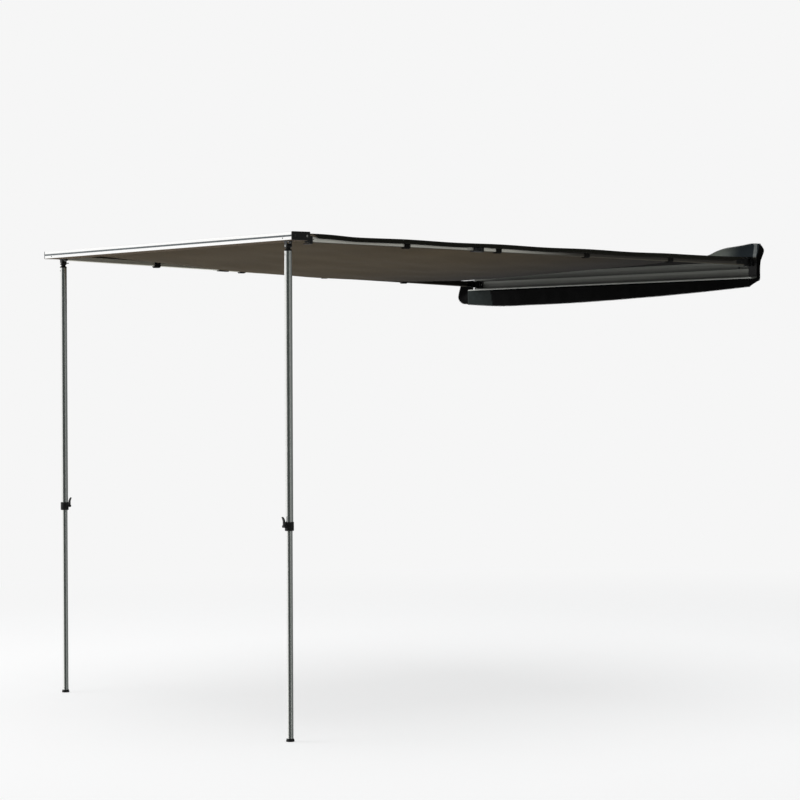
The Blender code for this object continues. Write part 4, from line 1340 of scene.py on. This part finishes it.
@dataclass
class Fasteners:
    """The screws and rivets that hold the extrusions, brackets and caps."""

    kit: Kit
    screw: Pair = (0.0042, 0.0026)
    flat_screw: Pair = (0.0042, 0.0010)
    rivet: Pair = (0.0026, 0.0012)
    sides: int = 24
    dome: tuple = ((1.0, -0.15), (1.0, 0.25), (0.93, 0.55), (0.76, 0.85), (0.52, 1.0))
    top: tuple = ((0.25, 1.06),)
    socket: tuple = ((0.46, 1.0), (0.44, 0.35))
    bracket_place: Pair = (0.0188, 0.004)
    cap_spread: float = 0.028
    arm_run: float = 0.017
    knuckle_lift: float = 0.0004
    tip_lift: float = -0.0003
    leg_run: float = 0.014
    beam_place: Pair = (0.061, 0.0095)
    board_place: Pair = (0.908, 0.004)
    board_gap: float = 0.0003

    def build(self) -> None:
        """Make them all."""
        for side, sign in SIDES.items():
            self.bracket_screws(side)
            self.cap_screws(side, sign)
            self.arm_rivets(side)
            self.leg_rivets(side)
            self.beam_rivet(side, sign)
        x, z = self.board_place
        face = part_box("near_arm_bracket")[1][1] + self.board_gap
        self.head("board_screw", (x, face, z), (0, -1, 0), self.screw, self.kit.bracket, "root")

    def bracket_screws(self, side: str) -> None:
        """Two low screw heads on a hinge bracket's plate.

        Args:
            side: near or far.
        """
        low, high = map(Vector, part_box(f"{side}_arm_bracket"))
        middle = (low + high) / 2
        apart, inset = self.bracket_place
        finish = self.kit.zinc if side == "far" else self.kit.bracket
        for number, way in enumerate((-1, 1), 1):
            place = (middle.x + way * apart, high.y - inset, middle.z)
            self.head(f"{side}_bracket_screw_{number}", place, (0, -1, 0), self.flat_screw, finish, "root")

    def cap_screws(self, side: str, sign: int) -> None:
        """Two socket screws into the beam through an end cap.

        Args:
            side: near or far.
            sign: 1 at the near end and -1 at the far end.
        """
        low, high = map(Vector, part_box("front_beam"))
        middle = (low + high) / 2
        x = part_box(f"{side}_beam_cap")[sign > 0][0]
        for number, (way, finish) in enumerate(((-1, self.kit.bracket), (1, self.kit.zinc)), 1):
            place = (x, middle.y + way * self.cap_spread, middle.z)
            self.head(f"{side}_cap_screw_{number}", place, (sign, 0, 0), self.screw, finish, "front_beam")

    def arm_rivets(self, side: str) -> None:
        """Rivets through an arm's knuckle and tip plugs, on both side walls.

        Args:
            side: near or far.
        """
        for part, body in (("outer", f"{side}_arm"), ("inner", f"{side}_arm_inner")):
            low, high = map(Vector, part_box(f"{side}_arm_{part}"))
            if part == "outer":
                held, lift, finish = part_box(f"{side}_arm_pin"), self.knuckle_lift, self.kit.bracket
                y = high.y - self.arm_run
            else:
                held, lift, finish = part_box(f"{side}_arm_tip"), self.tip_lift, self.kit.zinc
                y = low.y + self.arm_run
            z = (held[0][2] + held[1][2]) / 2 + lift
            for x, way, end in ((low.x, -1, "in"), (high.x, 1, "out")):
                self.head(f"{side}_{part}_rivet_{end}", (x, y, z), (way, 0, 0), self.rivet, finish, body)

    def leg_rivets(self, side: str) -> None:
        """Rivets through a leg's head plug, in front and behind.

        Args:
            side: near or far.
        """
        low, high = map(Vector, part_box(f"{side}_leg_upper"))
        x, z = (low.x + high.x) / 2, high.z - self.leg_run
        for y, way, end in ((low.y, -1, "front"), (high.y, 1, "rear")):
            self.head(f"{side}_leg_rivet_{end}", (x, y, z), (0, way, 0), self.rivet, self.kit.zinc,
                      f"{side}_leg")

    def beam_rivet(self, side: str, sign: int) -> None:
        """A rivet low on the beam's front face, which holds the cap's plug.

        Args:
            side: near or far.
            sign: 1 at the near end and -1 at the far end.
        """
        low, high = map(Vector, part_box("front_beam"))
        run, rise = self.beam_place
        place = (sign * (high.x - run), low.y, low.z + rise)
        self.head(f"{side}_beam_rivet", place, (0, -1, 0), self.rivet, self.kit.bracket, "front_beam")

    def head(self, name: str, place: Triple, outward: Triple,
             size: Pair, material: Material, body: str) -> None:
        """A domed head, with a hexagonal socket where it is a socket screw's.

        Args:
            name: The piece's name.
            place: The middle of its seat.
            outward: The way that it stands out.
            size: Its radius and height in metres.
            material: Its finish.
            body: The body that it rides on.
        """
        radius, height = size
        rings = []
        for index, (share, rise) in enumerate(self.dome + (self.socket if size == self.screw else self.top)):
            ring = []
            for turn in range(self.sides):
                angle = math.tau * turn / self.sides
                reach = radius * share
                if size == self.screw and index >= len(self.dome):
                    reach *= math.cos(math.pi / 6) / math.cos(angle % (math.pi / 3) - math.pi / 6)
                ring.append(Vector((reach * math.cos(angle), reach * math.sin(angle), rise * height)))
            rings.append(ring)
        mesh = lofted_mesh(name, rings)
        turned = Vector(outward).to_track_quat("Z", "Y").to_matrix().to_4x4()
        mesh.transform(Matrix.Translation(place) @ turned)
        new_piece(name, mesh, material, body, angle=30)


@dataclass
class Studio:
    """A pale seamless stage, soft lights and the photograph's camera."""

    backdrop: str = "#F6F6F6"
    ambient_tone: str = "#C9CCCE"
    ambient: float = 0.45
    floor_tone: str = "#B9B9B9"
    floor_lift: float = 0.575
    floor_fade: Pair = (2.5, 6.5)
    floor_reach: float = 60.0
    floor_gap: float = 0.0005
    focus: Triple = (0.0, -1.2, -0.4)
    lights: tuple = (("key", (-4.2, -9.5, 1.6), (7.0, 6.0), 560.0),
                     ("rim", (7.0, 4.5, 1.0), (3.0, 5.0), 160.0),
                     ("top", (0.0, -1.0, 6.0), (6.0, 6.0), 200.0))
    cards: tuple = (("dark_card", -84.0, -8.0, "#464B49", 1.0), ("slit_card", -8.0, 12.0, "#B4B7B5", 1.0),
                    ("grey_card", 12.0, 140.0, "#707372", 1.0),
                    ("white_card", -178.0, -108.0, "#F6F6F6", 1.2))
    card_reach: float = 9.0
    card_height: Pair = (-6.0, 5.0)
    card_parts: int = 14
    sensor: float = 36.0
    lens: float = 113.09
    location: Triple = (9.0943, -7.9616, -0.4423)
    azimuth: float = 53.5462
    elevation: float = 0.7141
    roll: float = -0.2232

    def build(self) -> None:
        """Make the stage, the lights and the camera."""
        self.make_floor()
        self.make_world()
        for light in self.lights:
            self.make_light(*light)
        for card in self.cards:
            self.make_card(*card)
        self.make_camera()

    def make_floor(self) -> None:
        """A pale floor that shows the camera the backdrop's even tone."""
        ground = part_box("near_leg_foot")[0][2] - self.floor_gap
        reach = self.floor_reach
        spots = [Vector((x, y, ground)) for y in (-reach, reach) for x in (-reach, reach)]
        mesh = points_mesh("floor", spots, [(0, 1, 3, 2)])
        floor = bpy.data.objects.new("floor", mesh)
        bpy.context.scene.collection.objects.link(floor)
        paper = Surface("studio_paper")
        seen = seen_by(paper.tree, "Camera", "Glossy")
        paper.give(Base_Color=linear(self.floor_tone), Roughness=0.9, Emission_Color=linear("#FFFFFF"),
                   Emission_Strength=paper.reckon("MULTIPLY", seen, self.floor_lift))
        place = paper.add("TexCoord").outputs["Object"]
        away = paper.add("VectorMath", {"operation": "LENGTH"}, _0=place).outputs["Value"]
        share = paper.reckon("MULTIPLY", seen, paper.between(away, self.floor_fade, "SMOOTHSTEP"))
        even = paper.add("Emission", Color=linear(self.backdrop), Strength=1.0)
        paper.show(paper.add("MixShader", _0=share, _1=paper.shader.outputs[0], _2=even.outputs[0]))
        mesh.materials.append(paper.material)
        floor.visible_glossy = False

    def make_world(self) -> None:
        """The backdrop's tone for the camera and in mirrors, and a dimmer one that lights the object."""
        world = bpy.data.worlds.new("studio")
        world.use_nodes = True
        tree = world.node_tree
        bright = tree.nodes["Background"]
        bright.inputs["Color"].default_value = linear(self.backdrop)
        dim = node(tree, "Background", Color=linear(self.ambient_tone), Strength=self.ambient)
        direct = seen_by(tree, "Camera", "Glossy", "Transmission")
        mixed = node(tree, "MixShader", _0=direct, _1=dim.outputs[0], _2=bright.outputs[0])
        tree.links.new(mixed.outputs[0], tree.nodes["World Output"].inputs["Surface"])
        bpy.context.scene.world = world

    def make_light(self, name: str, place: Triple, size: Pair,
                   power: float) -> None:
        """A soft box that faces the object.

        Args:
            name: The light's name.
            place: Where it stands.
            size: Its two sides in metres.
            power: Its power in watts.
        """
        lamp = bpy.data.lights.new(name, "AREA")
        lamp.shape = "RECTANGLE"
        lamp.size, lamp.size_y = size
        lamp.energy = power
        item = bpy.data.objects.new(name, lamp)
        item.location = place
        item.rotation_euler = (Vector(self.focus) - Vector(place)).to_track_quat("-Z", "Y").to_euler()
        item.visible_camera = False
        item.visible_glossy = False
        bpy.context.scene.collection.objects.link(item)

    def make_card(self, name: str, left: float, right: float, tone: str, strength: float) -> None:
        """A curved card round the object, which only the metal mirrors.

        Args:
            name: The card's name.
            left: Where it starts, in degrees round the object.
            right: Where it ends.
            tone: Hex of its tone.
            strength: How brightly it shines.
        """
        bottom, top = self.card_height

        def point(around: float, upward: float) -> Vector:
            turn = math.radians(left + (right - left) * around)
            return Vector((self.card_reach * math.cos(turn), self.focus[1] + self.card_reach * math.sin(turn),
                           bottom + (top - bottom) * upward))

        mesh = grid_mesh(name, point, self.card_parts, 1)
        card = bpy.data.objects.new(name, mesh)
        paper = Surface(f"{name}_paper")
        paper.show(paper.add("Emission", Color=linear(tone), Strength=strength))
        mesh.materials.append(paper.material)
        for kind in ("camera", "diffuse", "shadow"):
            setattr(card, f"visible_{kind}", False)
        bpy.context.scene.collection.objects.link(card)

    def make_camera(self) -> None:
        """The photograph's camera, from the fit of its lines."""
        turn, tilt, roll = (math.radians(angle) for angle in (self.azimuth, self.elevation, self.roll))
        look = Vector((-math.sin(turn) * math.cos(tilt), math.cos(turn) * math.cos(tilt), -math.sin(tilt)))
        right = Vector((math.cos(turn), math.sin(turn), 0))
        up = right.cross(look)
        side = right * math.cos(roll) + up * math.sin(roll)
        head = -right * math.sin(roll) + up * math.cos(roll)
        data = bpy.data.cameras.new("camera")
        data.sensor_width = self.sensor
        data.lens = self.lens
        item = bpy.data.objects.new("camera", data)
        place = Matrix((side, head, -look)).transposed().to_4x4()
        place.translation = self.location
        item.matrix_world = place
        bpy.context.scene.collection.objects.link(item)
        bpy.context.scene.camera = item


def main() -> None:
    """Dress the frame and set the stage."""
    logging.basicConfig(level=logging.INFO, format="%(message)s")
    bpy.context.scene.view_settings.view_transform = "Standard"
    kit = Kit()
    kit.dress_frame()
    canopy = Canopy(kit)
    canopy.build()
    StrapLoops(kit).build(canopy)
    Cover(kit).build()
    GrooveShadeStrip(kit).build()
    Fasteners(kit).build()
    Studio().build()


if __name__ == "__main__":
    main()
